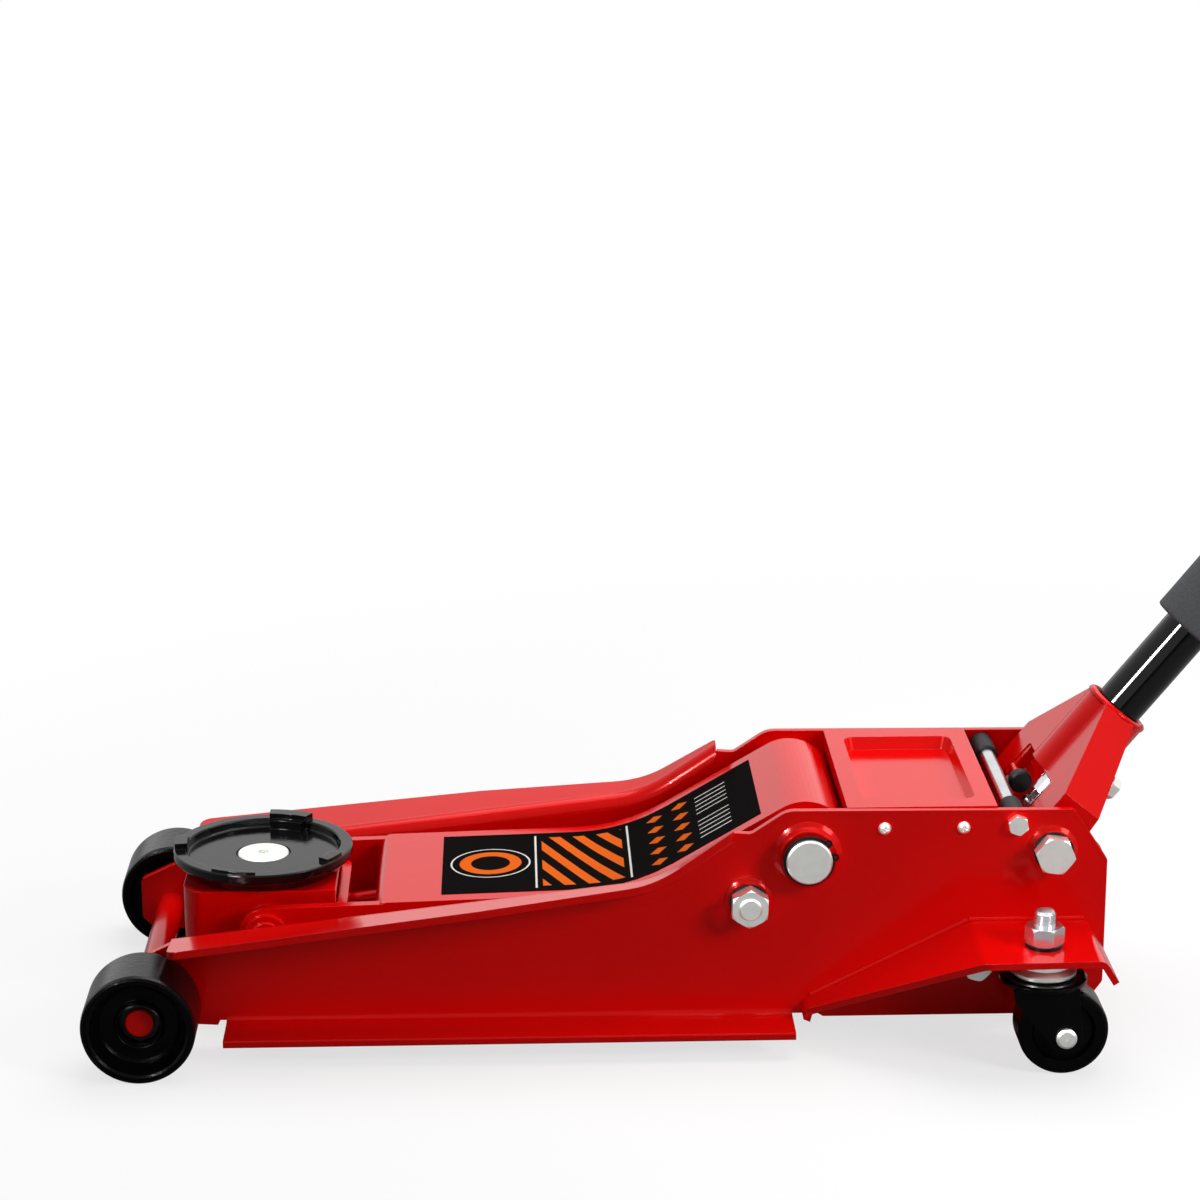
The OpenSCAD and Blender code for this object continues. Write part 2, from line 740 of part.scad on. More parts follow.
module ram() {
    color(STEEL) placed() difference() {
        union() {
            bar_x(0, ram_z, rod_r, X[0] + 12, ram_tail - 4);
            bar_x(0, ram_z, ram_r, ram_tail - 11.5, ram_tail);
            slab(-21.5, 21.5) polygon(rounded([[X[0] - 16, ram_z - 25, 8],
                [X[0] + 16, ram_z - 25, 4], [X[0] + 16, ram_z + 25, 4],
                [X[0] - 16, ram_z + 25, 8]]));
        }
        for (dz = [-slot_rise, slot_rise])
            bar_y([X[0], ram_z + dz], link_pin_r + slot_play, -30, 30);
        translate([X[0] - link_pin_r - slot_play, -30, ram_z - slot_rise])
            cube([2 * (link_pin_r + slot_play), 60, 2 * slot_rise]);
    }
}

module ram_pin() {
    color(STEEL) placed() turned_y(X, -34, [[0, 0], [8, 0], [9, 1], [9, 67], [8, 68],
        [0, 68]]);
}

// Two flat links between the crank pin and the ram pin
module ram_links() {
    color(RED) placed() both_sides() difference() {
        slab(22.5, 30.5) hull_outline(K, X, 15);
        bar_y(K, link_pin_r + fit, 0, 60);
        bar_y(X, link_pin_r + fit, 0, 60);
    }
}

// Outline of a straight link with equal round ends
module hull_outline(p, q, r) {
    d = q - p;
    a = atan2(d[1], d[0]);
    polygon(concat(arc(p, r, a + 90, a + 270), arc(q, r, a - 90, a + 90)));
}

module crank_pin() {
    color(STEEL) placed() turned_y(K, -81, [[0, 0], [8, 0], [9, 1], [9, 161], [8, 162],
        [0, 162]]);
}

// Coil springs that pull the crank back against the tank
module return_springs() {
    wire = 1.5;
    color(STEEL) placed() both_sides() translate([0, 52, K[1]]) {
        coil_x(0, 0, K[0] + 13, 608.4, 7.5, wire, 10);
        for (p = [[K[0], 10.8], [617, 6.3]])
            translate([p[0], 0, 0]) rotate([90, 0, 0]) rotate_extrude()
                translate([p[1], 0]) circle(r = wire, $fn = 16);
        for (x = [K[0] + 12, 609.4]) bar_y([x, 0], wire, 0, 8);
    }
}

// ---------------------------------------------------------------- lift arm

// Top line of the arm: bent front lip, flat run, a long curve up and the round over the pivot
arm_top = concat(
    rounded_path([[arm_run_x - 6.5, arm_run_z - 21, 0], [arm_run_x - 6.5, arm_run_z - 0.2, 9],
        [372, 114.2, 150], A + hub_r * [cos(121), sin(121)]]),
    arc(A, hub_r, 118, 12));

// Side wall in one outline: deck line, hub, crank, lower edge and ear
module wall_outline() {
    r = hub_r - 1;
    difference() {
        polygon(concat(
            [for (p = shifted(arm_top, 1)) if (p[0] > arm_run_x + 9) p],
            arc(A, r, 8, crank_a - 290),
            arc(K, 15, crank_a + 80, crank_a - 95),
            arc(A, r, crank_a - 75, 210),
            [[444, 134]],
            rounded_path([[432, 118, 0], [290, 64.5, 80], B + ear_r * [cos(-82), sin(-82)]]),
            arc(B, ear_r, 272, 93)));
        clearance_sweep(12.2);
    }
}

// Space that the rod anchor shaft sweeps through the wall as the arm lifts
module clearance_sweep(r) {
    a0 = anchor_a;
    a1 = anchor_a + arm_travel;
    polygon(concat(
        arc(A, anchor_r + r, a0, a1),
        arc(A + anchor_r * [cos(a1), sin(a1)], r, a1 + 7, a1 + 173),
        arc(A, anchor_r - r, a1, a0),
        arc(A + anchor_r * [cos(a0), sin(a0)], r, a0 + 187, a0 + 353)));
}

module lift_arm() {
    color(RED) placed() difference() {
        union() {
            intersection() {
                slab(-wall_y, wall_y) polygon(concat(arm_top,
                    [for (i = [len(arm_top) - 1:-1:0]) shifted(arm_top, deck_t)[i]]));
                translate([0, 0, 60]) linear_extrude(140) polygon(rounded([
                    [arm_run_x - 7, -wall_y, 10], [600, -wall_y, 0], [600, wall_y, 0],
                    [arm_run_x - 7, wall_y, 10]]));
            }
            both_sides() slab(wall_y - wall_t, wall_y) wall_outline();
            both_sides() bar_y(A, 27, wall_y - wall_t - 0.5, in_y - gap);
            bar_y(A, hub_r - deck_t + 0.5, -wall_y + 1, wall_y - 1);
            both_sides() bar_y(B, 16.5, wall_y - 1, wall_y + 4);
            both_sides() bar_y(K, 14.2, wall_y - wall_t - 6, wall_y - 0.5);
        }
        bar_y(A, pivot_d / 2 + fit, -100, 100);
        bar_y(B, 12 + fit, -100, 100);
        bar_y(K, link_pin_r + fit, -100, 100);
    }
}

module head_pivot_pin() {
    color(STEEL) placed() turned_y(B, -wall_y - 6, [[0, 0], [11, 0], [12, 1],
        [12, 2 * wall_y + 11], [11, 2 * wall_y + 12], [0, 2 * wall_y + 12]]);
}

// ---------------------------------------------------------------- tie rods

module tie_rod() {
    color(RED) placed() difference() {
        union() {
            bar_y(C, 15.5, rod_y0, rod_y1);
            bar_y(D, 13.8, rod_y0, rod_y1);
            translate([D[0], (rod_y0 + rod_y1) / 2, D[1]]) rotate([0, -arm_drop, 0])
                bar_x(0, 0, 6.5, 12, arm_len - 12);
        }
        for (p = [C, D]) bar_y(p, shaft_r + fit, 25, 60);
    }
}

module right_tie_rod() { tie_rod(); }
module left_tie_rod() { mirror([0, 1, 0]) tie_rod(); }

// ---------------------------------------------------------------- head and saddle

// Head bracket: a bent box with rounded upright corners and a top plate
module head_bracket() {
    x0 = bracket_x0;
    x1 = bracket_x1;
    t = bracket_t;
    color(RED) placed() difference() {
        union() {
            intersection() {
                translate([0, 0, 20]) linear_extrude(bracket_top - 20)
                    polygon(rounded([[x0, -bracket_y, 16], [x1 + 10, -bracket_y, 12],
                        [x1 + 10, bracket_y, 12], [x0, bracket_y, 16]]));
                slab(-bracket_y - 1, bracket_y + 1) polygon(rounded([[x0 - 1, 31, 10],
                    [D[0] + 12, 31, 14], [x1 - 20, 66, 20], [x1 + 11, 72, 5],
                    [x1 + 11, bracket_top + 1, 0], [x0 - 1, bracket_top + 1, 0]]));
            }
            both_sides() bar_y(B, 17, bracket_y - 1, wall_y - wall_t - gap);
        }
        translate([0, 0, 10]) linear_extrude(bracket_top - t - 10)
            polygon(rounded([[x0 + t, t - bracket_y, 1], [x1 + 2, t - bracket_y, 1],
                [x1 + 2, bracket_y - t, 1], [x0 + t, bracket_y - t, 1]]));
        translate([x1 - 2, t - bracket_y, 10]) cube([30, 2 * (bracket_y - t), 70]);
        translate([x1 + 2, -bracket_y - 1, 96])
            cube([20, 2 * bracket_y + 2, bracket_top]);
        bar_y(B, 12 + fit, -100, 100);
        bar_y(D, shaft_r + fit, -100, 100);
        translate([saddle_x, 0, 90]) cylinder(r = 8 + fit, h = 40);
    }
}

module rod_pivot_pin() {
    color(STEEL) placed() turned_y(D, -bracket_y - 2.5, [[0, 0], [10, 0], [shaft_r, 1],
        [shaft_r, 2 * bracket_y + 4], [10, 2 * bracket_y + 5], [0, 2 * bracket_y + 5]]);
}

module saddle_bolt() {
    color(STEEL) placed() translate([saddle_x, 0, 0]) difference() {
        union() {
            translate([0, 0, 97]) cylinder(r = 8, h = 23);
            translate([0, 0, 97]) cylinder(r = 24 / sqrt(3), h = bracket_top - bracket_t - 97.02,
                $fn = 6);
            translate([0, 0, 119.3]) rotate_extrude() polygon([[0, 0], [20.2, 0],
                [20.2, 3.6], [19.3, 4.6], [0, 4.6]]);
        }
        translate([0, 0, 117]) cylinder(r = 4.6, h = 8, $fn = 6);
    }
}

// Cast saddle: dished floor, rim and four driving lugs
module saddle() {
    r = saddle_r;
    floor_z = saddle_z - 6.8;
    base_z = bracket_top + gap;
    color(CAST) placed() translate([saddle_x, 0, 0]) difference() {
        union() {
            rotate_extrude() polygon([[8 + fit, base_z], [58, base_z], [62, base_z + 1.2],
                [67.5, base_z + 7.6], [r - 0.8, base_z + 9.6], [r, base_z + 11],
                [r, saddle_z - 1], [r - 1, saddle_z], [61.6, saddle_z], [60.6, saddle_z - 1],
                [60, floor_z + 1], [59, floor_z], [8 + fit, floor_z]]);
            saddle_lug(74, 15, 59, 4.6);
            rotate([0, 0, 74]) lug_sector(13.5, 53.5, 62, 0.4);
            saddle_lug(180, 8.5, 59.5, 4.8);
            saddle_lug(254, 15, 65.5, 2.4);
            saddle_lug(328, 8, 60, 3);
        }
        translate([0, 0, 119]) cylinder(r = 21.5, h = 20);
    }
}

// Lug at angle a on the rim, from radius r0 outwards
module saddle_lug(a, half, r0, h) {
    rotate([0, 0, a]) lug_sector(half, r0, saddle_r - 1.2, h);
}

// Sector of half angle half between two radii, standing h over the rim
module lug_sector(half, r0, r1, h) {
    z0 = saddle_z - 7.8;
    translate([0, 0, z0]) linear_extrude(saddle_z + h - z0)
        polygon(concat(arc([0, 0], r1, -half, half), arc([0, 0], r0, half, -half)));
}

// ---------------------------------------------------------------- yoke and handle

// Plate of the yoke seen from the front: shoulders run down to the two cheeks
module yoke_face() {
    polygon(rounded([[-8, yoke_y, 3], [38, yoke_y, 12], [tube_u1, tube_r, 4],
        [tube_u1, -tube_r, 4], [38, -yoke_y, 12], [-8, -yoke_y, 3], [-8, -56, 2],
        [tube_u0 - 1, -51, 3], [tube_u0 - 1, 51, 3], [-8, 56, 2]]));
}

// Upright sides of the yoke: outline in u and y between two offsets from its edge
module yoke_cheek() {
    polygon([[-24, yoke_y], [38, yoke_y], [tube_u1, tube_r], [tube_u1, tube_r - 7],
        [36, yoke_y - yoke_t], [-24, yoke_y - yoke_t]]);
}

// Side view of a cheek: arm of the pivot, rear edge and the lobe of the pump cross pin
module cheek_view() {
    pin = pump_arm * [cos(pump_a - handle_a), sin(pump_a - handle_a)];
    polygon([[-12, plate_w], [tube_u1, plate_w], [tube_u1, -11], [29, -plate_w],
        [0, -plate_w]]);
    circle(r = 20);
    translate(pin) circle(r = 13);
    polygon([[-18, -8], pin + [-11.5, -6], pin + [9, 9.4], [29, -plate_w], [20, 0]]);
}

module yoke() {
    pin = pump_arm * [cos(pump_a - handle_a), sin(pump_a - handle_a)];
    color(RED) placed() yoke_frame() difference() {
        union() {
            translate([0, 0, plate_w - yoke_t]) linear_extrude(yoke_t) yoke_face();
            intersection() {
                both_sides() translate([0, 0, -60]) linear_extrude(60 + plate_w) yoke_cheek();
                slab(-yoke_y - 1, yoke_y + 1) cheek_view();
            }
            both_sides() bar_y([0, 0], 15, yoke_y - 14, yoke_y + 5.6);
            bar_x(0, 0, tube_r, tube_u0, tube_u1);
            both_sides() bar_y(pin, 7, 13, yoke_y - 1);
            bar_y(pin, 5, -20, 20);
            bar_y([7, 14.5], 3.4, 22.6, 52);
            both_sides() translate([0, 46, 8]) cube([30, 10, plate_w - 9]);
        }
        bar_x(0, 0, handle_r + gap, tube_u0 - 2, tube_u1 + 2);
        both_sides() bar_y([0, 0], 9 + fit, 60, 100);
        translate([set_u, 0, -40]) cylinder(r = 5 + fit, h = 20);
    }
}

module set_screw() {
    color(STEEL) placed() yoke_frame() translate([set_u, 0, 0]) {
        translate([0, 0, -44]) cylinder(r = 5, h = 24);
        translate([0, 0, -44]) cylinder(r = 16 / sqrt(3), h = 7, $fn = 6);
        translate([0, 0, -32]) cylinder(r = 16 / sqrt(3), h = 5.6, $fn = 6);
    }
}

module pump_roller() {
    pin = pump_arm * [cos(pump_a - handle_a), sin(pump_a - handle_a)];
    color(STEEL) placed() yoke_frame() difference() {
        bar_y(pin, pump_roll_r, -12.6, 12.6);
        bar_y(pin, 5 + fit, -20, 20);
    }
}

// Rubber roller that meets the stop rod when the handle stands upright
module stop_roller() {
    color(BLACK) placed() yoke_frame() turned_y([7, 14.5], 11.5, [[0, 0], [7.4, 0], [9, 1.6],
        [9, 9.4], [7.4, 11], [0, 11]]);
}

module handle_lower_tube() {
    color(BLACK) placed() yoke_frame() difference() {
        handle_tube(handle_r, handle_r - 2.6, 36, 640);
        bar_y([joint_u, 0], 4 + fit, -30, 30);
    }
}

module handle_upper_tube() {
    color(BLACK) placed() yoke_frame() difference() {
        handle_tube(handle_r - 2.6 - fit, handle_r - 5.2, 570, handle_len - 6);
        bar_y([joint_u, 0], 4 + fit, -30, 30);
    }
}

module handle_joint_bolt() {
    color(STEEL) placed() yoke_frame() {
        bar_y([joint_u, 0], 4, -handle_r - 7, handle_r + 4);
        nut_y([joint_u, 0], 13, handle_r + 0.1, 6, 0);
        nut_y([joint_u, 0], 13, -handle_r - 6, 5.9, 0);
    }
}

// Foam sleeve that keeps the handle from marking bodywork
module foam_sleeve() {
    color(FOAM) placed() yoke_frame() difference() {
        translate([187, 0, 0]) rotate([0, 90, 0]) rotate_extrude() polygon([[0, 0],
            [foam_d / 2 - 2, 0], [foam_d / 2, 2], [foam_d / 2, 328], [foam_d / 2 - 2, 330],
            [0, 330]]);
        bar_x(0, 0, handle_r + fit, 180, 540);
    }
}

// Ribbed rubber grip closed at its end
module handle_grip() {
    inner = handle_r - 2.6;
    ribs = [for (i = [0:8]) each [[grip_r - 1.4, 8 + 14 * i], [grip_r, 10 + 14 * i],
        [grip_r, 17 + 14 * i], [grip_r - 1.4, 19 + 14 * i]]];
    u0 = handle_len - 140;
    color(BLACK) placed() yoke_frame() difference() {
        translate([u0, 0, 0]) rotate([0, 90, 0]) rotate_extrude() polygon(concat(
            [[0, 0], [grip_r, 0], [grip_r, 6]], ribs, [[grip_r, 137], [grip_r - grip_c, 140],
            [0, 140]]));
        bar_x(0, 0, inner, u0 - 1, handle_len - 6);
    }
}

// ---------------------------------------------------------------- casters

module at_stud() {
    translate([stud_x, stud_y, 0]) children();
}

// Studs with a flat head under the fork and a rolled thread above the nut
module caster_studs() {
    z0 = 69.2;
    z1 = shelf_z + 18;
    thread = [for (z = [z1:2:z1 + 8]) each [[8, z], [8, z + 0.7], [7.1, z + 1.1], [7.1, z + 1.6]]];
    color(STEEL) placed() both_sides() at_stud() rotate_extrude() polygon(concat(
        [[0, z0], [stud_head_r, z0], [stud_head_r, z0 + 3.4], [8, z0 + 3.4]], thread,
        [[6.6, z1 + 10.2], [0, z1 + 10.2]]));
}

module caster_nuts() {
    color(STEEL) placed() both_sides() at_stud() difference() {
        translate([0, 0, shelf_z + 2.64]) intersection() {
            rotate([0, 0, 12]) cylinder(r = 26 / sqrt(3), h = 14, $fn = 6);
            rotate_extrude() polygon([[0, 0], [13.4, 0], [15.4, 1.8], [15.4, 12.2],
                [13.4, 14], [0, 14]]);
        }
        translate([0, 0, 90]) cylinder(r = 8 + fit, h = 60);
    }
}

// Upper race of each swivel bearing, under the bracket
module caster_races() {
    color(STEEL) placed() both_sides() at_stud() difference() {
        translate([0, 0, fork_top + gap]) rotate_extrude() polygon([[0, 0], [23, 0], [25, 1.6],
            [25, 4], [21, 8], [20, shelf_z - shelf_t - fork_top - gap - 0.02],
            [0, shelf_z - shelf_t - fork_top - gap - 0.02]]);
        translate([0, 0, 60]) cylinder(r = 8 + fit, h = 60);
    }
}

// Pressed fork: round top plate and two tapered cheeks
module caster_fork() {
    inner = 22.5;
    t = 4;
    color(BLACK) placed() at_stud() difference() {
        union() {
            translate([0, 0, fork_top - 6]) rotate_extrude() polygon([[0, 0], [30, 0], [33, 2],
                [33, 4.5], [31, 6], [0, 6]]);
            both_sides() slab(inner, inner + t) polygon(concat(
                [[-26, fork_top - 4], [-25, fork_top - 12]],
                arc([caster_trail, caster_axle_z], 13, 205, 350),
                [[24, fork_top - 12], [24, fork_top - 4]]));
            both_sides() bar_y([caster_trail, caster_axle_z], 9, caster_w / 2 + 1.2,
                inner + 0.5);
        }
        translate([0, 0, fork_top - 20]) cylinder(r = 8 + gap, h = 40);
        translate([0, 0, fork_top - 20]) cylinder(r = stud_head_r + gap, h = 17);
        bar_y([caster_trail, caster_axle_z], 5 + fit, -40, 40);
    }
}

module caster_wheel() {
    r = caster_d / 2;
    w = caster_w;
    color(BLACK) placed() at_stud() turned_y([caster_trail, caster_axle_z], -w / 2,
        [[5 + fit, -0.9], [11, -0.9], [12, 0], [12, 3], [22, 4.5], [24, 1], [r - 3, 0],
            [r - 0.8, 1], [r, 4], [r, w - 4], [r - 0.8, w - 1], [r - 3, w], [24, w - 1],
            [22, w - 4.5], [12, w - 3], [12, w], [11, w + 0.9], [5 + fit, w + 0.9]]);
}

module caster_axle() {
    y = 26.6;
    color(STEEL) placed() at_stud() turned_y([caster_trail, caster_axle_z], -y - 4.4,
        [[0, 0], [6, 0.2], [7.8, 1.6], [7.8, 4.4], [5, 4.4], [5, 2 * y + 4.4],
            [7.8, 2 * y + 4.4], [7.8, 2 * y + 7.2], [6, 2 * y + 8.6], [0, 2 * y + 8.8]]);
}

module right_caster_fork() { caster_fork(); }
module left_caster_fork() { mirror([0, 1, 0]) caster_fork(); }
module right_caster_wheel() { caster_wheel(); }
module left_caster_wheel() { mirror([0, 1, 0]) caster_wheel(); }
module right_caster_axle() { caster_axle(); }
module left_caster_axle() { mirror([0, 1, 0]) caster_axle(); }

// ---------------------------------------------------------------- all parts

left_side_plate();
right_side_plate();
left_caster_bracket();
right_caster_bracket();
front_axle();
wheel_retainers();
left_front_wheel();
right_front_wheel();
main_pivot_pin();
pivot_circlips();
anchor_shaft();
anchor_nuts();
black_washers();
cover_tray();
cover_screws();
stop_rod();
stop_rod_sleeves();
stop_rod_bolts();
pump_block();
oil_tank();
ram_gland();
unit_bolts();
filler_plug();
pump_cylinder();
release_valve();
ram();
ram_pin();
ram_links();
crank_pin();
lift_arm();
head_pivot_pin();
head_bracket();
rod_pivot_pin();
saddle_bolt();
saddle();
left_tie_rod();
right_tie_rod();
return_springs();
yoke();
yoke_bolts();
set_screw();
pump_roller();
stop_roller();
pump_plunger();
pump_spring();
handle_lower_tube();
handle_upper_tube();
handle_joint_bolt();
foam_sleeve();
handle_grip();
joint_socket();
caster_studs();
caster_nuts();
caster_races();
left_caster_fork();
right_caster_fork();
left_caster_wheel();
right_caster_wheel();
left_caster_axle();
right_caster_axle();
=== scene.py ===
"""Looks of a low-profile hydraulic trolley jack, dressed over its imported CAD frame.

All lengths are metres in the frame's own axes: +Z up, the saddle points to -X.
"""

import json
import logging
import math
from dataclasses import dataclass, field
from enum import Enum
from typing import Any, Protocol, Union

import bpy
from mathutils import Matrix, Vector

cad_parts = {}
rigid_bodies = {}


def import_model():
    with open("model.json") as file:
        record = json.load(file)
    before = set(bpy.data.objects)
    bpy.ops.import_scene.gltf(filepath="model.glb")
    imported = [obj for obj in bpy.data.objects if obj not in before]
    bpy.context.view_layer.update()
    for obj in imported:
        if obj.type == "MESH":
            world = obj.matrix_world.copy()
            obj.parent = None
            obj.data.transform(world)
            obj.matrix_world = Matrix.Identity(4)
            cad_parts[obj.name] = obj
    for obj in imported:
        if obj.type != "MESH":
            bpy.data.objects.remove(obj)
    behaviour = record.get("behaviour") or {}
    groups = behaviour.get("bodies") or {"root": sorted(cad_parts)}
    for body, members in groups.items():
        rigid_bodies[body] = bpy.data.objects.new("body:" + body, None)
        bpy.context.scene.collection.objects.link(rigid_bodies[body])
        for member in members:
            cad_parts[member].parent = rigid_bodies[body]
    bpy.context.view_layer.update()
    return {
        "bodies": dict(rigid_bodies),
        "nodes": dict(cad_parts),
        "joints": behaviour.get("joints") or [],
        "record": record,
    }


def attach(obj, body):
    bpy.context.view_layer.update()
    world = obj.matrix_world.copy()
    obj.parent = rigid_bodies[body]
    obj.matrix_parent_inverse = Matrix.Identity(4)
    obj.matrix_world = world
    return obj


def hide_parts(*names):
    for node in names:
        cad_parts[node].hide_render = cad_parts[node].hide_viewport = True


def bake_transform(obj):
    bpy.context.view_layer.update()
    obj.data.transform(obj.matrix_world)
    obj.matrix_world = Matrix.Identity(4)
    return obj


Colour = tuple[float, float, float]
Shade = Union[Colour, bpy.types.NodeSocket]
Term = Union["Wire", float]
Frame = dict[str, Any]

LOG = logging.getLogger("jack")
MM = 0.001
WHITE: Colour = (1.0, 1.0, 1.0)
EDGE_SAMPLES = 6
SAME_POINT = 0.002 * MM


# ---------------------------------------------------------------- shader writing


class Wire:
    """A number that travels through a node tree, combined with plain arithmetic."""

    def __init__(self, sheet: "NodeSheet", socket: bpy.types.NodeSocket) -> None:
        """Wrap one output socket of a sheet."""
        self.sheet = sheet
        self.socket = socket

    def _math(self, operation: str, *values: Term) -> "Wire":
        """Add a Math node of an operation on wires or numbers, and give its result."""
        inputs = dict(enumerate(values))
        return self.sheet.node("ShaderNodeMath", {"operation": operation}, inputs)[0]

    def __add__(self, other: Term) -> "Wire":
        """Sum with a wire or a number."""
        return self._math("ADD", self, other)

    def __radd__(self, other: Term) -> "Wire":
        """Sum with a number on the left."""
        return self._math("ADD", other, self)

    def __sub__(self, other: Term) -> "Wire":
        """Difference from a wire or a number."""
        return self._math("SUBTRACT", self, other)

    def __rsub__(self, other: Term) -> "Wire":
        """Difference of a number and this wire."""
        return self._math("SUBTRACT", other, self)

    def __mul__(self, other: Term) -> "Wire":
        """Product with a wire or a number."""
        return self._math("MULTIPLY", self, other)

    def __rmul__(self, other: Term) -> "Wire":
        """Product with a number on the left."""
        return self._math("MULTIPLY", other, self)

    def __truediv__(self, other: Term) -> "Wire":
        """Quotient by a wire or a number."""
        return self._math("DIVIDE", self, other)

    def __rtruediv__(self, other: Term) -> "Wire":
        """Quotient of a number and this wire."""
        return self._math("DIVIDE", other, self)

    def __abs__(self) -> "Wire":
        """Size without its sign."""
        return self._math("ABSOLUTE", self)

    def below(self, limit: Term) -> "Wire":
        """1 where this is less than the limit, else 0."""
        return self._math("LESS_THAN", self, limit)

    def most(self, other: Term) -> "Wire":
        """The greater of this and another value."""
        return self._math("MAXIMUM", self, other)

    def least(self, other: Term) -> "Wire":
        """The smaller of this and another value."""
        return self._math("MINIMUM", self, other)

    def repeat(self, period: float) -> "Wire":
        """This value wrapped into -period/2 to period/2."""
        return self._math("WRAP", self, period / 2, -period / 2)

    def ease(self, low: float, high: float) -> "Wire":
        """0 up to low and 1 from high, rising evenly between."""
        return ((self - low) / (high - low)).most(0.0).least(1.0)


class Outputs:
    """The output sockets of a node, as wires by index or name."""

    def __init__(self, sheet: "NodeSheet", made: bpy.types.Node) -> None:
        """Hold a node of a sheet."""
        self.sheet = sheet
        self.outputs = made.outputs

    def __getitem__(self, key: int | str) -> Wire:
        """One output as a wire."""
        return Wire(self.sheet, self.outputs[key])


class NodeSheet:
    """A node tree written from code, one node at a time."""

    def __init__(self, tree: bpy.types.NodeTree) -> None:
        """Empty the tree and write on it."""
        self.tree = tree
        self.tree.nodes.clear()

    def node(
        self,
        kind: str,
        settings: dict[str, Any] | None = None,
        inputs: dict[Any, Any] | None = None,
    ) -> Outputs:
        """Add one node.

        Args:
            kind: type name of the node.
            settings: attributes of the node, set first.
            inputs: socket index or name to a wire, a socket or a plain value.

        Returns:
            The node's outputs.
        """
        made = self.tree.nodes.new(kind)
        for key, value in (settings or {}).items():
            setattr(made, key, value)
        for key, value in (inputs or {}).items():
            socket = made.inputs[key]
            source = value.socket if isinstance(value, Wire) else value
            if isinstance(source, bpy.types.NodeSocket):
                self.tree.links.new(source, socket)
            else:
                socket.default_value = self._fit(socket, source)
        return Outputs(self, made)

    @staticmethod
    def _fit(socket: bpy.types.NodeSocket, value: Any) -> Any:
        """Give a colour its alpha where the socket wants four numbers.

        Args:
            socket: the input that the value is for.
            value: a number, a vector or a colour.

        Returns:
            The value as the socket takes it.
        """
        if socket.type == "RGBA" and not isinstance(value, (int, float)) and len(value) == 3:
            return (*value, 1.0)
        return value


class ShaderSheet(NodeSheet):
    """The node tree of one material, with its object coordinates at hand."""

    def __init__(self, name: str) -> None:
        """Start an empty material.

        Args:
            name: name of the material.
        """
        self.material = bpy.data.materials.new(name)
        self.material.use_nodes = True
        super().__init__(self.material.node_tree)
        place = self.node("ShaderNodeTexCoord")
        self.place = place["Object"].socket
        axes = self.node("ShaderNodeSeparateXYZ", inputs={0: self.place})
        self.x, self.y = axes[0], axes[1]

    def noise(self, scale: float, detail: float = 3.0, rough: float = 0.55) -> Wire:
        """Cloudy noise from 0 to 1 on object coordinates, scale in features per metre."""
        values = {"Vector": self.place, "Scale": scale, "Detail": detail, "Roughness": rough}
        return self.node("ShaderNodeTexNoise", inputs=values)["Fac"]

    def grain(self, stretch: Colour, scale: float) -> Wire:
        """Noise drawn out along one axis, as brushing and turning marks are.

        Args:
            stretch: scale along X, Y and Z before the noise.
            scale: features per metre.

        Returns:
            Noise from 0 to 1.
        """
        drawn = self.node("ShaderNodeMapping", inputs={"Vector": self.place, "Scale": stretch})
        values = {"Vector": drawn[0].socket, "Scale": scale, "Detail": 2.0}
        return self.node("ShaderNodeTexNoise", inputs=values)["Fac"]

    def cells(self, scale: float) -> Wire:
        """Distance to the nearest of many scattered points, as in open foam."""
        values = {"Vector": self.place, "Scale": scale}
        return self.node("ShaderNodeTexVoronoi", inputs=values)["Distance"]

    def blend(self, factor: Term, low: Shade, high: Shade) -> bpy.types.NodeSocket:
        """Mix two colours; the factor 0 gives low and 1 gives high."""
        mixed = self.node("ShaderNodeMix", {"data_type": "RGBA"}, {0: factor, 6: low, 7: high})
        return mixed.outputs[2]

    def relief(
        self, height: Wire, depth: float, strength: float = 1.0, edge: float = 0.0
    ) -> bpy.types.NodeSocket:
        """Surface normal from a height.

        Args:
            height: wire from 0 to 1.
            depth: height in metres that 1 stands for.
            strength: share of the effect.
            edge: radius in metres to which hard edges look rounded.

        Returns:
            The normal's socket.
        """
        inputs = {"Height": height, "Distance": depth, "Strength": strength}
        if edge:
            soft = self.node("ShaderNodeBevel", {"samples": EDGE_SAMPLES}, {"Radius": edge})
            inputs["Normal"] = soft[0]
        return self.node("ShaderNodeBump", inputs=inputs)[0].socket

    def surface(self, **values: Any) -> bpy.types.Material:
        """Finish the material with one Principled shader.

        Args:
            values: the shader's sockets, with underscores for spaces.

        Returns:
            The finished material.
        """
        inputs = {key.replace("_", " "): value for key, value in values.items()}
        shader = self.node("ShaderNodeBsdfPrincipled", inputs=inputs)
        self.node("ShaderNodeOutputMaterial", inputs={"Surface": shader[0]})
        return self.material


# ---------------------------------------------------------------- finishes


class Finish(Protocol):
    """A surface that can make its own material."""

    def build(self) -> bpy.types.Material:
        """Make the material."""


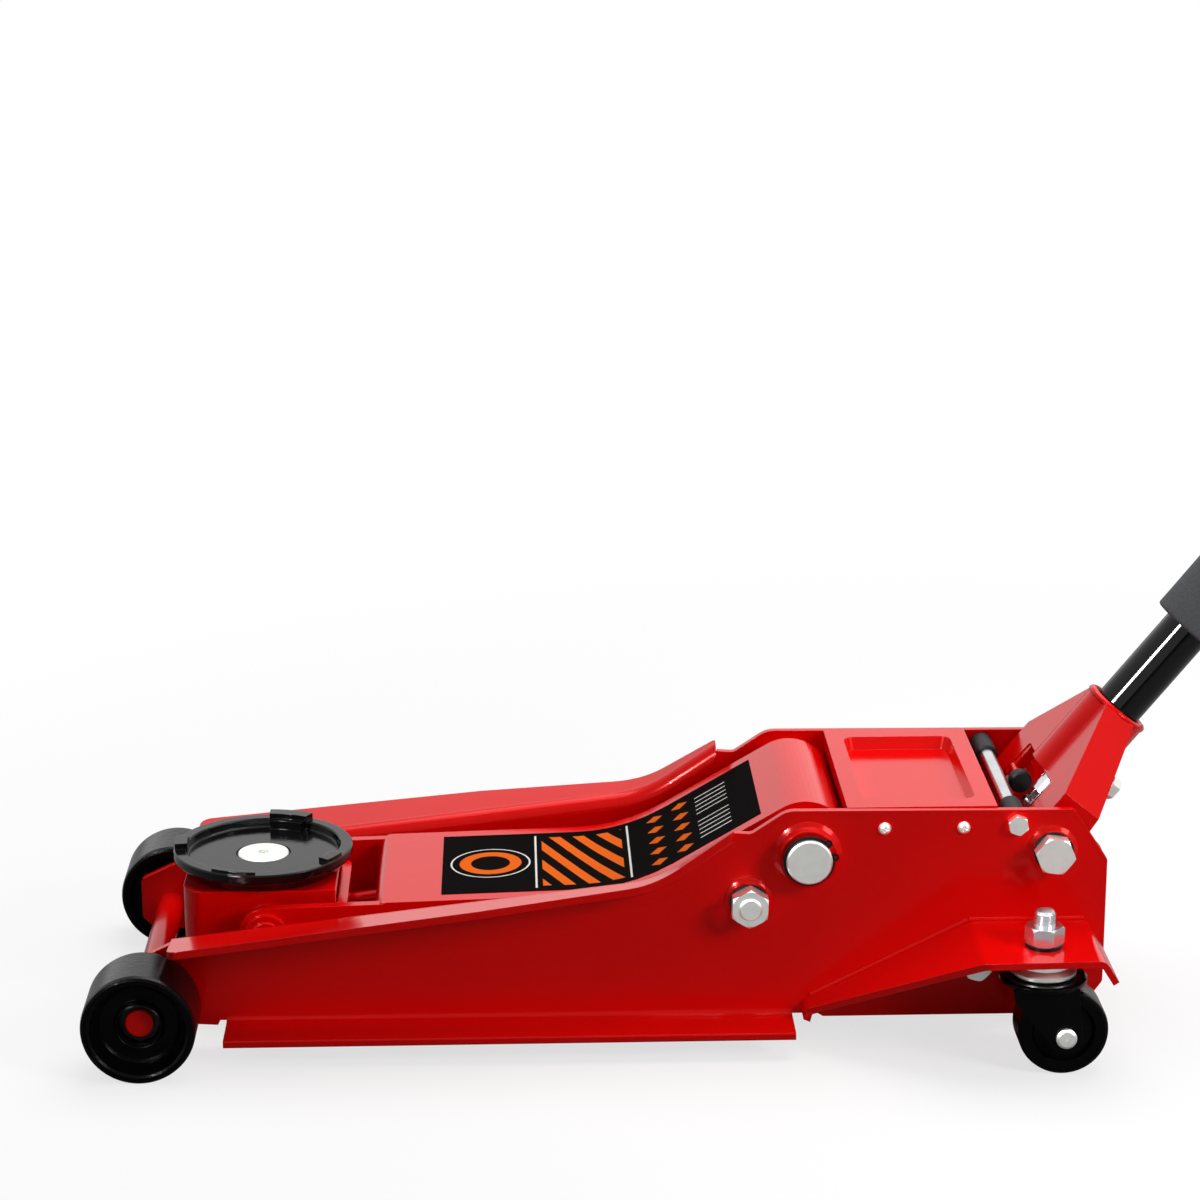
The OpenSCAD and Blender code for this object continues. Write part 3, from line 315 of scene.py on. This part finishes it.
@dataclass(frozen=True)
class Enamel:
    """Gloss enamel sprayed over pressed and welded steel."""

    name: str = "red_enamel"
    colour: Colour = (0.78, 0.0014, 0.0012)
    shade: Colour = (0.66, 0.0010, 0.0010)
    gloss_tint: Colour = (1.0, 0.10, 0.09)
    roughness: float = 0.12
    specular: float = 0.64
    lacquer: float = 0.05
    lacquer_roughness: float = 0.05
    cloud_scale: float = 7.0
    peel_scale: float = 420.0
    haze_scale: float = 34.0
    edge: float = 0.9 * MM

    def build(self) -> bpy.types.Material:
        """Paint with faint clouds, orange peel and softened edges.

        Returns:
            The finished material.
        """
        sheet = ShaderSheet(self.name)
        clouds = sheet.noise(self.cloud_scale, 4.0)
        peel = sheet.noise(self.peel_scale, 2.0)
        colour = sheet.blend(clouds.ease(0.35, 0.75) * 0.35, self.colour, self.shade)
        rough = self.roughness + sheet.noise(self.haze_scale, 4.0) * 0.07
        normal = sheet.relief(peel, 0.12 * MM, 0.22, self.edge)
        return sheet.surface(
            Base_Color=colour,
            Roughness=rough,
            Normal=normal,
            Specular_IOR_Level=self.specular,
            Specular_Tint=self.gloss_tint,
            Coat_Weight=self.lacquer,
            Coat_Roughness=self.lacquer_roughness,
        )


@dataclass(frozen=True)
class BlackCoat:
    """Black paint or oxide over cast or forged metal."""

    name: str
    colour: Colour = (0.0045, 0.0045, 0.0052)
    roughness: float = 0.24
    lumps: float = 0.25
    lump_scale: float = 260.0
    edge: float = 0.7 * MM
    dust_scale: float = 26.0
    dust_tone: float = 1.8
    ior: float = 1.5
    facing: float = 0.28

    def build(self) -> bpy.types.Material:
        """Dark coat with the casting's skin showing through.

        Returns:
            The finished material.
        """
        sheet = ShaderSheet(self.name)
        skin = sheet.noise(self.lump_scale, 4.0, 0.6)
        dust = sheet.noise(self.dust_scale, 5.0).ease(0.45, 0.85)
        pale = tuple(self.dust_tone * c for c in self.colour)
        colour = sheet.blend(dust * 0.6, self.colour, pale)
        rough = self.roughness + skin * 0.08 + dust * 0.05
        normal = sheet.relief(skin, 0.35 * MM, self.lumps, self.edge)
        return sheet.surface(
            Base_Color=colour,
            Roughness=rough,
            Normal=normal,
            IOR=self.ior,
            Specular_Tint=(self.facing, self.facing, self.facing),
        )


@dataclass(frozen=True)
class BrightSteel:
    """Zinc-plated, ground or chromed steel."""

    name: str
    colour: Colour = (0.60, 0.61, 0.62)
    roughness: float = 0.26
    stretch: Colour = (1.0, 6.0, 1.0)
    edge: float = 0.4 * MM
    metallic: float = 1.0
    grain_scale: float = 240.0
    patch_scale: float = 55.0
    patch_tone: float = 0.72

    def build(self) -> bpy.types.Material:
        """Metal with drawn-out grain and small dull patches.

        Returns:
            The finished material.
        """
        sheet = ShaderSheet(self.name)
        grain = sheet.grain(self.stretch, self.grain_scale)
        patches = sheet.noise(self.patch_scale, 4.0)
        dull = tuple(self.patch_tone * c for c in self.colour)
        colour = sheet.blend(patches.ease(0.4, 0.8) * 0.55, self.colour, dull)
        rough = self.roughness + grain * 0.14 + patches * 0.06
        normal = sheet.relief(grain, 0.05 * MM, 0.04, self.edge)
        return sheet.surface(
            Base_Color=colour, Roughness=rough, Metallic=self.metallic, Normal=normal
        )


@dataclass(frozen=True)
class Rubber:
    """Moulded black rubber."""

    name: str = "black_rubber"
    colour: Colour = (0.006, 0.006, 0.007)
    dusty: Colour = (0.013, 0.013, 0.013)
    roughness: float = 0.46
    specular: float = 0.25
    skin_scale: float = 900.0
    dust_scale: float = 40.0
    edge: float = 0.5 * MM

    def build(self) -> bpy.types.Material:
        """Matte rubber with a fine moulded skin and a little dust.

        Returns:
            The finished material.
        """
        sheet = ShaderSheet(self.name)
        skin = sheet.noise(self.skin_scale, 2.0)
        dust = sheet.noise(self.dust_scale, 5.0)
        colour = sheet.blend(dust.ease(0.4, 0.8) * 0.5, self.colour, self.dusty)
        normal = sheet.relief(skin, 0.12 * MM, 0.5, self.edge)
        return sheet.surface(
            Base_Color=colour,
            Roughness=self.roughness + dust * 0.2,
            Specular_IOR_Level=self.specular,
            Normal=normal,
        )


@dataclass(frozen=True)
class Foam:
    """Closed-cell foam with open pores at its cut skin."""

    name: str = "grey_foam"
    colour: Colour = (0.092, 0.097, 0.104)
    faded: Colour = (0.120, 0.126, 0.135)
    # Painted shade: a darker colour for the hollows of the pores.
    painted_pore_shade: Colour = (0.040, 0.042, 0.047)
    roughness: float = 0.9
    specular: float = 0.25
    pore_scale: float = 620.0
    grit_scale: float = 1400.0
    tone_scale: float = 18.0

    def build(self) -> bpy.types.Material:
        """Matte foam, pitted all over, with slow changes in tone and the pits darkened as painted
        shade.

        Returns:
            The finished material.
        """
        sheet = ShaderSheet(self.name)
        pits = sheet.cells(self.pore_scale)
        grit = sheet.noise(self.grit_scale, 3.0)
        tone = sheet.noise(self.tone_scale, 3.0)
        body = sheet.blend(tone.ease(0.3, 0.8) * 0.5, self.colour, self.faded)
        # Painted shade: the pits that the bump sinks are coloured darker.
        colour = sheet.blend(pits.below(0.22) * 0.7, body, self.painted_pore_shade)
        normal = sheet.relief(pits.least(0.5) + grit * 0.4, 0.35 * MM, 0.7)
        return sheet.surface(
            Base_Color=colour,
            Roughness=self.roughness,
            Specular_IOR_Level=self.specular,
            Normal=normal,
        )


@dataclass(frozen=True)
class LabelPrint:
    """Black foil printed with plain blocks: a ring, slanted bars, diamonds and rules.

    A block's place is its middle's distance behind the foil's front edge. Its half and
    reach are how far it goes from there along and across the foil.
    """

    front: float
    name: str = "label_print"
    ground: Colour = (0.0032, 0.0026, 0.0025)
    orange: Colour = (0.84, 0.145, 0.016)
    pale: Colour = (0.78, 0.76, 0.72)
    ring_place: float = 38 * MM
    ring_radius: float = 20 * MM
    ring_width: float = 9 * MM
    rim_radius: float = 31 * MM
    rim_width: float = 1.4 * MM
    bars_place: float = 111 * MM
    bars_half: float = 32 * MM
    bars_reach: float = 54 * MM
    bar_pitch: float = 19 * MM
    bar_width: float = 9.2 * MM
    bar_slant: float = 0.45
    rules_half: float = 37 * MM
    rules_reach: float = 58 * MM
    rule_width: float = 1.6 * MM
    gems_place: float = 180 * MM
    gems_half: float = 19 * MM
    gems_reach: float = 56 * MM
    gem_pitch: float = 20 * MM
    gem_row: float = 24 * MM
    gem_half: float = 6.5 * MM
    lines_place: float = 214 * MM
    lines_half: float = 12 * MM
    lines_side: float = 28 * MM
    lines_reach: float = 20 * MM
    line_pitch: float = 9 * MM
    roughness: float = 0.55
    haze_scale: float = 60.0
    ior: float = 1.06
    specular: float = 0.2

    def build(self) -> bpy.types.Material:
        """Print the orange and the pale blocks over the ground.

        Returns:
            The finished material.
        """
        sheet = ShaderSheet(self.name)
        along, side = sheet.x - self.front, abs(sheet.y)
        reach = self._distance(sheet, along - self.ring_place, sheet.y)
        ring = abs(reach - self.ring_radius).below(self.ring_width / 2)
        rim = abs(reach - self.rim_radius).below(self.rim_width / 2)
        off_bars = abs(along - self.bars_place)
        bars = off_bars.below(self.bars_half) * side.below(self.bars_reach)
        slant = (along + sheet.y * self.bar_slant).repeat(self.bar_pitch)
        bars = bars * abs(slant).below(self.bar_width / 2)
        rules = abs(off_bars - self.rules_half).below(self.rule_width / 2)
        rules = rules * side.below(self.rules_reach)
        off_gems = along - self.gems_place
        gems = abs(off_gems).below(self.gems_half) * side.below(self.gems_reach)
        gem = abs((off_gems + self.gem_pitch / 2).repeat(self.gem_pitch))
        gem = gem + abs(sheet.y.repeat(self.gem_row))
        gems = gems * gem.below(self.gem_half)
        lines = abs(along - self.lines_place).below(self.lines_half)
        lines = lines * abs(side - self.lines_side).below(self.lines_reach)
        lines = lines * abs(sheet.y.repeat(self.line_pitch)).below(self.rule_width / 2)
        warm = sheet.blend(ring.most(bars).most(gems), self.ground, self.orange)
        colour = sheet.blend(rim.most(rules).most(lines), warm, self.pale)
        rough = self.roughness + sheet.noise(self.haze_scale) * 0.1
        return sheet.surface(
            Base_Color=colour,
            Roughness=rough,
            IOR=self.ior,
            Specular_IOR_Level=self.specular,
        )

    @staticmethod
    def _distance(sheet: ShaderSheet, along: Wire, across: Wire) -> Wire:
        """Distance from a point, from its two parts.

        Args:
            sheet: the material's node tree.
            along: part along the foil.
            across: part across it.

        Returns:
            The distance.
        """
        point = sheet.node("ShaderNodeCombineXYZ", inputs={0: along, 1: across})
        length = sheet.node("ShaderNodeVectorMath", {"operation": "LENGTH"}, {0: point[0]})
        return length["Value"]


class Slot(Enum):
    """The record's material slots."""

    RED = "red_paint"
    BLACK = "black_paint"
    WHEEL = "black_wheel"
    TUBE = "black_gloss_tube"
    OXIDE = "black_steel"
    ZINC = "zinc_steel"
    CHROME = "chromed_rod"
    SPRING = "spring_steel"
    RUBBER = "black_rubber"
    FOAM = "grey_foam"


FINISHES: dict[Slot, Finish] = {
    Slot.RED: Enamel(),
    Slot.BLACK: BlackCoat(
        "black_casting_coat", (0.0022, 0.0023, 0.0028), roughness=0.06, ior=1.56
    ),
    Slot.WHEEL: BlackCoat(
        "wheel_coat",
        (0.0020, 0.0020, 0.0024),
        roughness=0.13,
        lumps=0.8,
        lump_scale=300.0,
        ior=1.42,
        facing=0.12,
    ),
    Slot.TUBE: BlackCoat(
        "tube_gloss",
        (0.0010, 0.0010, 0.0012),
        roughness=0.02,
        lumps=0.01,
        lump_scale=90.0,
        facing=0.5,
    ),
    Slot.OXIDE: BlackCoat(
        "black_oxide",
        (0.006, 0.006, 0.007),
        roughness=0.30,
        lumps=0.1,
        lump_scale=500.0,
        edge=0.3 * MM,
    ),
    Slot.ZINC: BrightSteel(
        "bright_zinc", (0.96, 0.98, 0.93), roughness=0.24, edge=0.0, metallic=0.86
    ),
    Slot.CHROME: BrightSteel("hard_chrome", (0.72, 0.73, 0.76), roughness=0.10),
    Slot.SPRING: BrightSteel("spring_wire", (0.42, 0.42, 0.44), roughness=0.30, edge=0.0),
    Slot.RUBBER: Rubber(),
    Slot.FOAM: Foam(),
}

# Nodes whose finish is another than that of their slot in the record.
OWN_FINISH: dict[str, Slot] = {
    "left_caster_fork": Slot.WHEEL,
    "right_caster_fork": Slot.WHEEL,
    "caster_studs": Slot.CHROME,
    "caster_nuts": Slot.CHROME,
    "joint_socket": Slot.CHROME,
    "release_valve": Slot.CHROME,
}


class Paintshop:
    """Makes each finish once and dresses the CAD nodes with them."""

    def __init__(self, frame: Frame) -> None:
        """Hold the loaded frame and make every finish."""
        self.frame = frame
        self.materials = {slot: finish.build() for slot, finish in FINISHES.items()}

    def dress(self, piece: bpy.types.Object, slot: Slot) -> None:
        """Give a piece one finish.

        Args:
            piece: the object to dress.
            slot: the finish that it takes.
        """
        piece.data.materials.clear()
        piece.data.materials.append(self.materials[slot])

    def dress_nodes(self) -> None:
        """Give every CAD node its own finish, or else that of its slot in the record."""
        for part in self.frame["record"]["subparts"]:
            node = self.frame["nodes"][part["node"]]
            slot = OWN_FINISH.get(part["node"], Slot(part["material_slot"]))
            material = self.materials[slot]
            if not node.material_slots:
                node.data.materials.append(material)
            for place in node.material_slots:
                place.material = material


# ---------------------------------------------------------------- pieces


class Bench:
    """Edit steps that the modelled pieces share."""

    @staticmethod
    def clear() -> None:
        """Leave every object deselected."""
        bpy.ops.object.select_all(action="DESELECT")

    @staticmethod
    def finish(piece: bpy.types.Object, angle: float = 35.0) -> None:
        """Put a piece's place into its mesh and smooth its soft edges.

        Args:
            piece: the modelled object.
            angle: edges sharper than this many degrees stay sharp.
        """
        Bench.clear()
        piece.select_set(True)
        bpy.context.view_layer.objects.active = piece
        bpy.ops.object.transform_apply(location=True, rotation=True, scale=True)
        bpy.ops.object.mode_set(mode="EDIT")
        bpy.ops.mesh.select_all(action="SELECT")
        bpy.ops.mesh.normals_make_consistent(inside=False)
        bpy.ops.object.mode_set(mode="OBJECT")
        bpy.ops.object.shade_smooth_by_angle(angle=math.radians(angle))
        triangles = sum(len(face.vertices) - 2 for face in piece.data.polygons)
        LOG.info("%s: %d triangles", piece.name, triangles)

    @staticmethod
    def point(piece: bpy.types.Object, middle: Vector, axis: Vector) -> None:
        """Move a piece to its middle and turn its own z along an axis."""
        turn = axis.to_track_quat("Z", "Y").to_matrix().to_4x4()
        piece.matrix_world = Matrix.Translation(middle) @ turn

    @staticmethod
    def slice_along(piece: bpy.types.Object, length: float, cuts: int) -> None:
        """Cut the long edges of a tube or bar across, so that it can bend or swell.

        Args:
            piece: the object, still lying along z.
            length: its length.
            cuts: number of even cuts.
        """
        bpy.ops.object.mode_set(mode="EDIT")
        bpy.ops.mesh.select_mode(type="EDGE")
        bpy.ops.mesh.select_all(action="DESELECT")
        bpy.ops.object.mode_set(mode="OBJECT")
        for edge in piece.data.edges:
            low, high = (piece.data.vertices[i].co for i in edge.vertices)
            edge.select = abs(low.z - high.z) > length / 2
        bpy.ops.object.mode_set(mode="EDIT")
        bpy.ops.mesh.subdivide(number_cuts=cuts)
        bpy.ops.object.mode_set(mode="OBJECT")

    @staticmethod
    def apply_modifier(piece: bpy.types.Object, kind: str, **settings: Any) -> None:
        """Add a modifier to a piece and apply it.

        Args:
            piece: the object that is changed.
            kind: type of the modifier.
            settings: its attributes.
        """
        Bench.clear()
        piece.select_set(True)
        bpy.context.view_layer.objects.active = piece
        modifier = piece.modifiers.new(kind.lower(), kind)
        for key, value in settings.items():
            setattr(modifier, key, value)
        bpy.ops.object.modifier_apply(modifier=modifier.name)

    @staticmethod
    def merged_copy(source: bpy.types.Object, name: str) -> bpy.types.Object:
        """Copy a CAD node with its own mesh and merge the copy's doubled points.

        Args:
            source: the CAD node.
            name: name of the copy.

        Returns:
            The copy, with no parent.
        """
        Bench.clear()
        piece = source.copy()
        piece.data = source.data.copy()
        piece.name = name
        piece.parent = None
        piece.matrix_world = source.matrix_world
        bpy.context.scene.collection.objects.link(piece)
        piece.select_set(True)
        bpy.context.view_layer.objects.active = piece
        if piece.data.has_custom_normals:
            bpy.ops.mesh.customdata_custom_splitnormals_clear()
        bpy.ops.object.mode_set(mode="EDIT")
        bpy.ops.mesh.select_all(action="SELECT")
        bpy.ops.mesh.remove_doubles(threshold=SAME_POINT)
        bpy.ops.object.mode_set(mode="OBJECT")
        Bench.finish(piece)
        return piece


class HandleAxis:
    """Line of the handle at rest, from the yoke's pivot upwards."""

    def __init__(self, frame: Frame) -> None:
        """Read the line from the joint that twists the handle.

        Args:
            frame: the loaded frame.
        """
        twist = next(joint for joint in frame["joints"] if joint["name"] == "handle_twist")
        self.pivot = Vector(twist["pos_m"])
        self.up = Vector(twist["axis"])

    def at(self, reach: float) -> Vector:
        """Point on the line at a distance from the pivot."""
        return self.pivot + self.up * reach


@dataclass
class DeckLabel:
    """Printed foil that follows the bent deck of the lift arm."""

    front: float = -0.458
    rear: float = -0.211
    half: float = 64.5 * MM
    above: float = 0.25
    cuts: int = 47
    glue: float = 0.15 * MM
    foil: float = 0.12 * MM

    def build(self, frame: Frame) -> None:
        """Lay a divided sheet on the deck from above and give it its thickness.

        Args:
            frame: the loaded frame.
        """
        Bench.clear()
        middle = (self.front + self.rear) / 2
        bpy.ops.mesh.primitive_plane_add(size=1.0, location=(middle, 0.0, self.above))
        piece = bpy.context.object
        piece.name = "deck_label"
        piece.scale = (self.rear - self.front, 2 * self.half, 1.0)
        bpy.ops.object.transform_apply(location=True, rotation=True, scale=True)
        bpy.ops.object.mode_set(mode="EDIT")
        bpy.ops.mesh.select_all(action="SELECT")
        bpy.ops.mesh.subdivide(number_cuts=self.cuts)
        bpy.ops.object.mode_set(mode="OBJECT")
        Bench.apply_modifier(
            piece,
            "SHRINKWRAP",
            target=frame["nodes"]["lift_arm"],
            wrap_method="PROJECT",
            use_project_z=True,
            use_positive_direction=False,
            use_negative_direction=True,
            offset=self.glue,
        )
        Bench.apply_modifier(piece, "SOLIDIFY", thickness=self.foil, offset=1.0)
        piece.data.materials.append(LabelPrint(self.front).build())
        Bench.finish(piece)
        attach(piece, "lift_arm")


@dataclass(frozen=True)
class WeldBead:
    """A rippled fillet bead, run straight or round a ring."""

    radius: float = 2.4 * MM
    pitch: float = 3.2 * MM
    hollow: float = 0.80
    sides: int = 8
    sharp: float = 60.0

    def _ripple(self, piece: bpy.types.Object, rings: list[list[int]]) -> None:
        """Pinch every second ring of points towards its own middle.

        Args:
            piece: the bead.
            rings: indices of the points of each ring, in order.
        """
        mesh = piece.data
        for ring in rings[1::2]:
            middle = sum((mesh.vertices[i].co for i in ring), Vector()) / len(ring)
            for i in ring:
                mesh.vertices[i].co = middle + (mesh.vertices[i].co - middle) * self.hollow

    def straight(self, name: str, start: Vector, end: Vector) -> bpy.types.Object:
        """Run a bead from one point to another.

        Args:
            name: name of the piece.
            start: middle of the bead's first end.
            end: middle of its last end.

        Returns:
            The finished bead.
        """
        run = end - start
        cuts = 2 * int(run.length / self.pitch / 2)
        Bench.clear()
        bpy.ops.mesh.primitive_cylinder_add(
            vertices=self.sides, radius=self.radius, depth=run.length, end_fill_type="NGON"
        )
        piece = bpy.context.object
        piece.name = name
        Bench.slice_along(piece, run.length, cuts)
        levels: dict[int, list[int]] = {}
        for vertex in piece.data.vertices:
            step = round((vertex.co.z / run.length + 0.5) * (cuts + 1))
            levels.setdefault(step, []).append(vertex.index)
        self._ripple(piece, [levels[step] for step in sorted(levels)])
        Bench.point(piece, (start + end) / 2, run)
        Bench.finish(piece, self.sharp)
        return piece

    def ring(self, name: str, middle: Vector, axis: Vector, reach: float) -> bpy.types.Object:
        """Run a bead round a ring.

        Args:
            name: name of the piece.
            middle: middle of the ring.
            axis: direction that the ring faces.
            reach: radius of the ring.

        Returns:
            The finished bead.
        """
        steps = 2 * int(math.pi * reach / self.pitch)
        Bench.clear()
        bpy.ops.mesh.primitive_torus_add(
            major_radius=reach,
            minor_radius=self.radius,
            major_segments=steps,
            minor_segments=self.sides,
        )
        piece = bpy.context.object
        piece.name = name
        rings: dict[int, list[int]] = {}
        for vertex in piece.data.vertices:
            turn = math.atan2(vertex.co.y, vertex.co.x) / math.tau * steps
            rings.setdefault(round(turn) % steps, []).append(vertex.index)
        self._ripple(piece, [rings[step] for step in sorted(rings)])
        Bench.point(piece, middle, axis)
        Bench.finish(piece, self.sharp)
        return piece


@dataclass
class Welds:
    """Welds of the caster brackets on the side plates and of the yoke's mouth."""

    web_y: float = 100.6 * MM
    bracket_line: tuple[tuple[float, float], ...] = (
        (-0.1740, 0.0385),
        (-0.0536, 0.0985),
        (0.0350, 0.0985),
    )
    mouth: float = 102.4 * MM
    mouth_reach: float = 24.2 * MM
    bead: WeldBead = WeldBead()
    lip: WeldBead = WeldBead(3.1 * MM, 5.0 * MM, 0.97, sides=10)

    def build(self, shop: Paintshop, handle: HandleAxis) -> None:
        """Run every bead and paint it.

        Args:
            shop: gives the finishes.
            handle: line that the yoke's mouth is round.
        """
        for side, word in ((-1.0, "left"), (1.0, "right")):
            points = [Vector((x, side * self.web_y, z)) for x, z in self.bracket_line]
            for count, (start, end) in enumerate(zip(points, points[1:])):
                name = f"{word}_bracket_weld_{count + 1}"
                piece = self.bead.straight(name, start, end)
                shop.dress(piece, Slot.RED)
                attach(piece, "chassis")
        middle = handle.at(self.mouth)
        piece = self.lip.ring("yoke_mouth_lip", middle, handle.up, self.mouth_reach)
        shop.dress(piece, Slot.RED)
        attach(piece, "yoke")


@dataclass
class FoamSleeve:
    """Soft tube pushed over the lower handle tube to spare the car's bumper."""

    start: float = 187 * MM
    length: float = 330 * MM
    radius: float = 29.9 * MM
    bore: float = 19.5 * MM
    sides: int = 72
    cuts: int = 69
    edge: float = 2.2 * MM
    edge_steps: int = 4
    corner: float = math.radians(60.0)
    swell: float = 0.5 * MM
    swell_size: float = 35 * MM
    swell_middle: float = 0.6

    def build(self, shop: Paintshop, handle: HandleAxis) -> None:
        """Model the tube, round its ends and let its skin wander a little.

        Args:
            shop: gives the finishes.
            handle: line that the sleeve lies on.
        """
        Bench.clear()
        bpy.ops.mesh.primitive_cylinder_add(
            vertices=self.sides,
            radius=self.radius,
            depth=self.length,
            end_fill_type="NOTHING",
        )
        piece = bpy.context.object
        piece.name = "foam_sleeve_soft"
        Bench.slice_along(piece, self.length, self.cuts)
        wall = self.radius - self.bore
        Bench.apply_modifier(piece, "SOLIDIFY", thickness=wall, offset=-1.0)
        Bench.apply_modifier(
            piece,
            "BEVEL",
            width=self.edge,
            segments=self.edge_steps,
            limit_method="ANGLE",
            angle_limit=self.corner,
        )
        clouds = bpy.data.textures.new("foam_swell", "CLOUDS")
        clouds.noise_scale = self.swell_size
        Bench.apply_modifier(
            piece,
            "DISPLACE",
            texture=clouds,
            strength=self.swell,
            mid_level=self.swell_middle,
        )
        Bench.point(piece, handle.at(self.start + self.length / 2), handle.up)
        shop.dress(piece, Slot.FOAM)
        Bench.finish(piece)
        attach(piece, "handle")
        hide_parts("foam_sleeve")


@dataclass
class Springs:
    """Return springs and pump spring, which stretch between two moving pieces."""

    tank_end: Vector = field(default_factory=lambda: Vector((-0.0757, 0.0, 0.088)))
    crank_end: Vector = field(default_factory=lambda: Vector((-0.1276, 0.0, 0.088)))
    seat: Vector = field(default_factory=lambda: Vector((0.0339, 0.0, 0.1036)))
    cap: Vector = field(default_factory=lambda: Vector((0.0339, 0.0, 0.1260)))

    def build(self, frame: Frame, shop: Paintshop) -> None:
        """Copy both springs, paint them and hide the CAD nodes in their place.

        Args:
            frame: the loaded frame.
            shop: gives the finishes.
        """
        runs = (
            ("return_springs", "lift_arm", self.tank_end, self.crank_end),
            ("pump_spring", "pump_plunger", self.seat, self.cap),
        )
        for node, body, start, end in runs:
            piece = Bench.merged_copy(frame["nodes"][node], f"{node}_wire")
            shop.dress(piece, Slot.SPRING)
            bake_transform(piece)
            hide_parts(node)


# ---------------------------------------------------------------- studio


@dataclass(frozen=True)
class Lamp:
    """A round softbox; one for gloss alone lights no surface, but shows in reflections."""

    name: str
    place: tuple[float, float, float]
    target: tuple[float, float, float]
    size: float
    power: float
    gloss_alone: bool = False

    def hang(self) -> None:
        """Add the lamp, turned to its target."""
        data = bpy.data.lights.new(self.name, "AREA")
        data.shape = "DISK"
        data.size = self.size
        data.energy = self.power
        lamp = bpy.data.objects.new(self.name, data)
        lamp.location = self.place
        lamp.visible_diffuse = not self.gloss_alone
        toward = Vector(self.target) - Vector(self.place)
        lamp.rotation_euler = toward.to_track_quat("-Z", "Y").to_euler()
        bpy.context.scene.collection.objects.link(lamp)


@dataclass
class Studio:
    """Camera, floor, surroundings and soft lights.

    The floor glows by the share glow_near round the jack, and fully past glow_to.
    """

    eye: Vector = field(default_factory=lambda: Vector((-0.40184, -2.37064, 1.00259)))
    yaw: float = 0.0292
    pitch: float = -0.2773
    roll: float = -0.0029
    lens: float = 95.445
    sensor: float = 36.0
    farthest: float = 60.0
    lamps: tuple[Lamp, ...] = (
        Lamp("overhead", (0.1, 0.5, 2.2), (0.0, 0.0, 0.1), 2.4, 46.0),
        Lamp("right_front", (1.45, -1.35, 1.20), (0.35, 0.0, 0.1), 0.8, 25.0),
        Lamp("left_gloss", (-1.68, -1.53, 1.39), (0.0, 0.0, 0.15), 0.42, 100.0, gloss_alone=True),
    )
    air: Colour = (0.92, 0.96, 1.0)
    air_strength: float = 0.18
    floor_half: float = 14.0
    floor_grey: Colour = (0.24, 0.24, 0.24)
    floor_pale: Colour = (0.96, 0.96, 0.96)
    floor_gloss: float = 0.2
    glow_near: float = 0.70
    glow_from: float = 0.6
    glow_to: float = 1.3

    def place_camera(self) -> None:
        """Put the camera low in front of the left side plate."""
        data = bpy.data.cameras.new("camera")
        data.lens = self.lens
        data.sensor_width = self.sensor
        data.clip_end = self.farthest
        camera = bpy.data.objects.new("camera", data)
        bpy.context.scene.collection.objects.link(camera)
        ahead = Vector(
            (
                math.sin(self.yaw) * math.cos(self.pitch),
                math.cos(self.yaw) * math.cos(self.pitch),
                math.sin(self.pitch),
            )
        )
        turn = ahead.to_track_quat("-Z", "Y") @ Matrix.Rotation(self.roll, 3, "Z").to_quaternion()
        camera.location = self.eye
        camera.rotation_mode = "QUATERNION"
        camera.rotation_quaternion = turn
        bpy.context.scene.camera = camera

    def place_world(self) -> None:
        """Dim surroundings that are white to the camera and in reflections."""
        world = bpy.data.worlds.new("surroundings")
        world.use_nodes = True
        bpy.context.scene.world = world
        sheet = NodeSheet(world.node_tree)
        rays = sheet.node("ShaderNodeLightPath")
        seen = rays["Is Camera Ray"].most(rays["Is Transmission Ray"]).most(rays["Is Glossy Ray"])
        dim = sheet.node(
            "ShaderNodeBackground",
            inputs={"Color": self.air, "Strength": self.air_strength},
        )
        white = sheet.node("ShaderNodeBackground", inputs={"Color": WHITE})
        mixed = sheet.node("ShaderNodeMixShader", inputs={0: seen, 1: dim[0], 2: white[0]})
        sheet.node("ShaderNodeOutputWorld", inputs={"Surface": mixed[0]})

    def place_floor(self) -> None:
        """Lay a wide floor that keeps the jack's shadow and grows white away from it.

        All rays but the camera's meet it grey, so that it throws little light on the jack.
        """
        bpy.ops.mesh.primitive_plane_add(size=2 * self.floor_half, location=(0, 0, 0))
        floor = bpy.context.object
        floor.name = "floor"
        sheet = ShaderSheet("pale_floor")
        away = sheet.node("ShaderNodeVectorMath", {"operation": "LENGTH"}, {0: sheet.place})
        rays = sheet.node("ShaderNodeLightPath")
        camera_ray = rays["Is Camera Ray"]
        seen = camera_ray.most(rays["Is Glossy Ray"] * self.floor_gloss)
        tone = sheet.blend(seen, self.floor_grey, self.floor_pale)
        paper = sheet.node("ShaderNodeBsdfDiffuse", inputs={"Color": tone})
        glow = sheet.node("ShaderNodeEmission", inputs={"Color": WHITE})
        far = away["Value"].ease(self.glow_from, self.glow_to)
        share = self.glow_near + far * (1.0 - self.glow_near)
        mixed = sheet.node(
            "ShaderNodeMixShader", inputs={0: camera_ray * share, 1: paper[0], 2: glow[0]}
        )
        sheet.node("ShaderNodeOutputMaterial", inputs={"Surface": mixed[0]})
        floor.data.materials.append(sheet.material)

    def build(self) -> None:
        """Set up the whole studio."""
        bpy.context.scene.view_settings.view_transform = "Standard"
        self.place_camera()
        for lamp in self.lamps:
            lamp.hang()
        self.place_world()
        self.place_floor()


# ---------------------------------------------------------------- main


def main() -> None:
    """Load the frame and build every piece."""
    logging.basicConfig(level=logging.INFO, format="%(name)s: %(message)s")
    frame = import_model()
    Studio().build()
    shop = Paintshop(frame)
    shop.dress_nodes()
    handle = HandleAxis(frame)
    DeckLabel().build(frame)
    Welds().build(shop, handle)
    Springs().build(frame, shop)
    FoamSleeve().build(shop, handle)


if __name__ == "__main__":
    main()
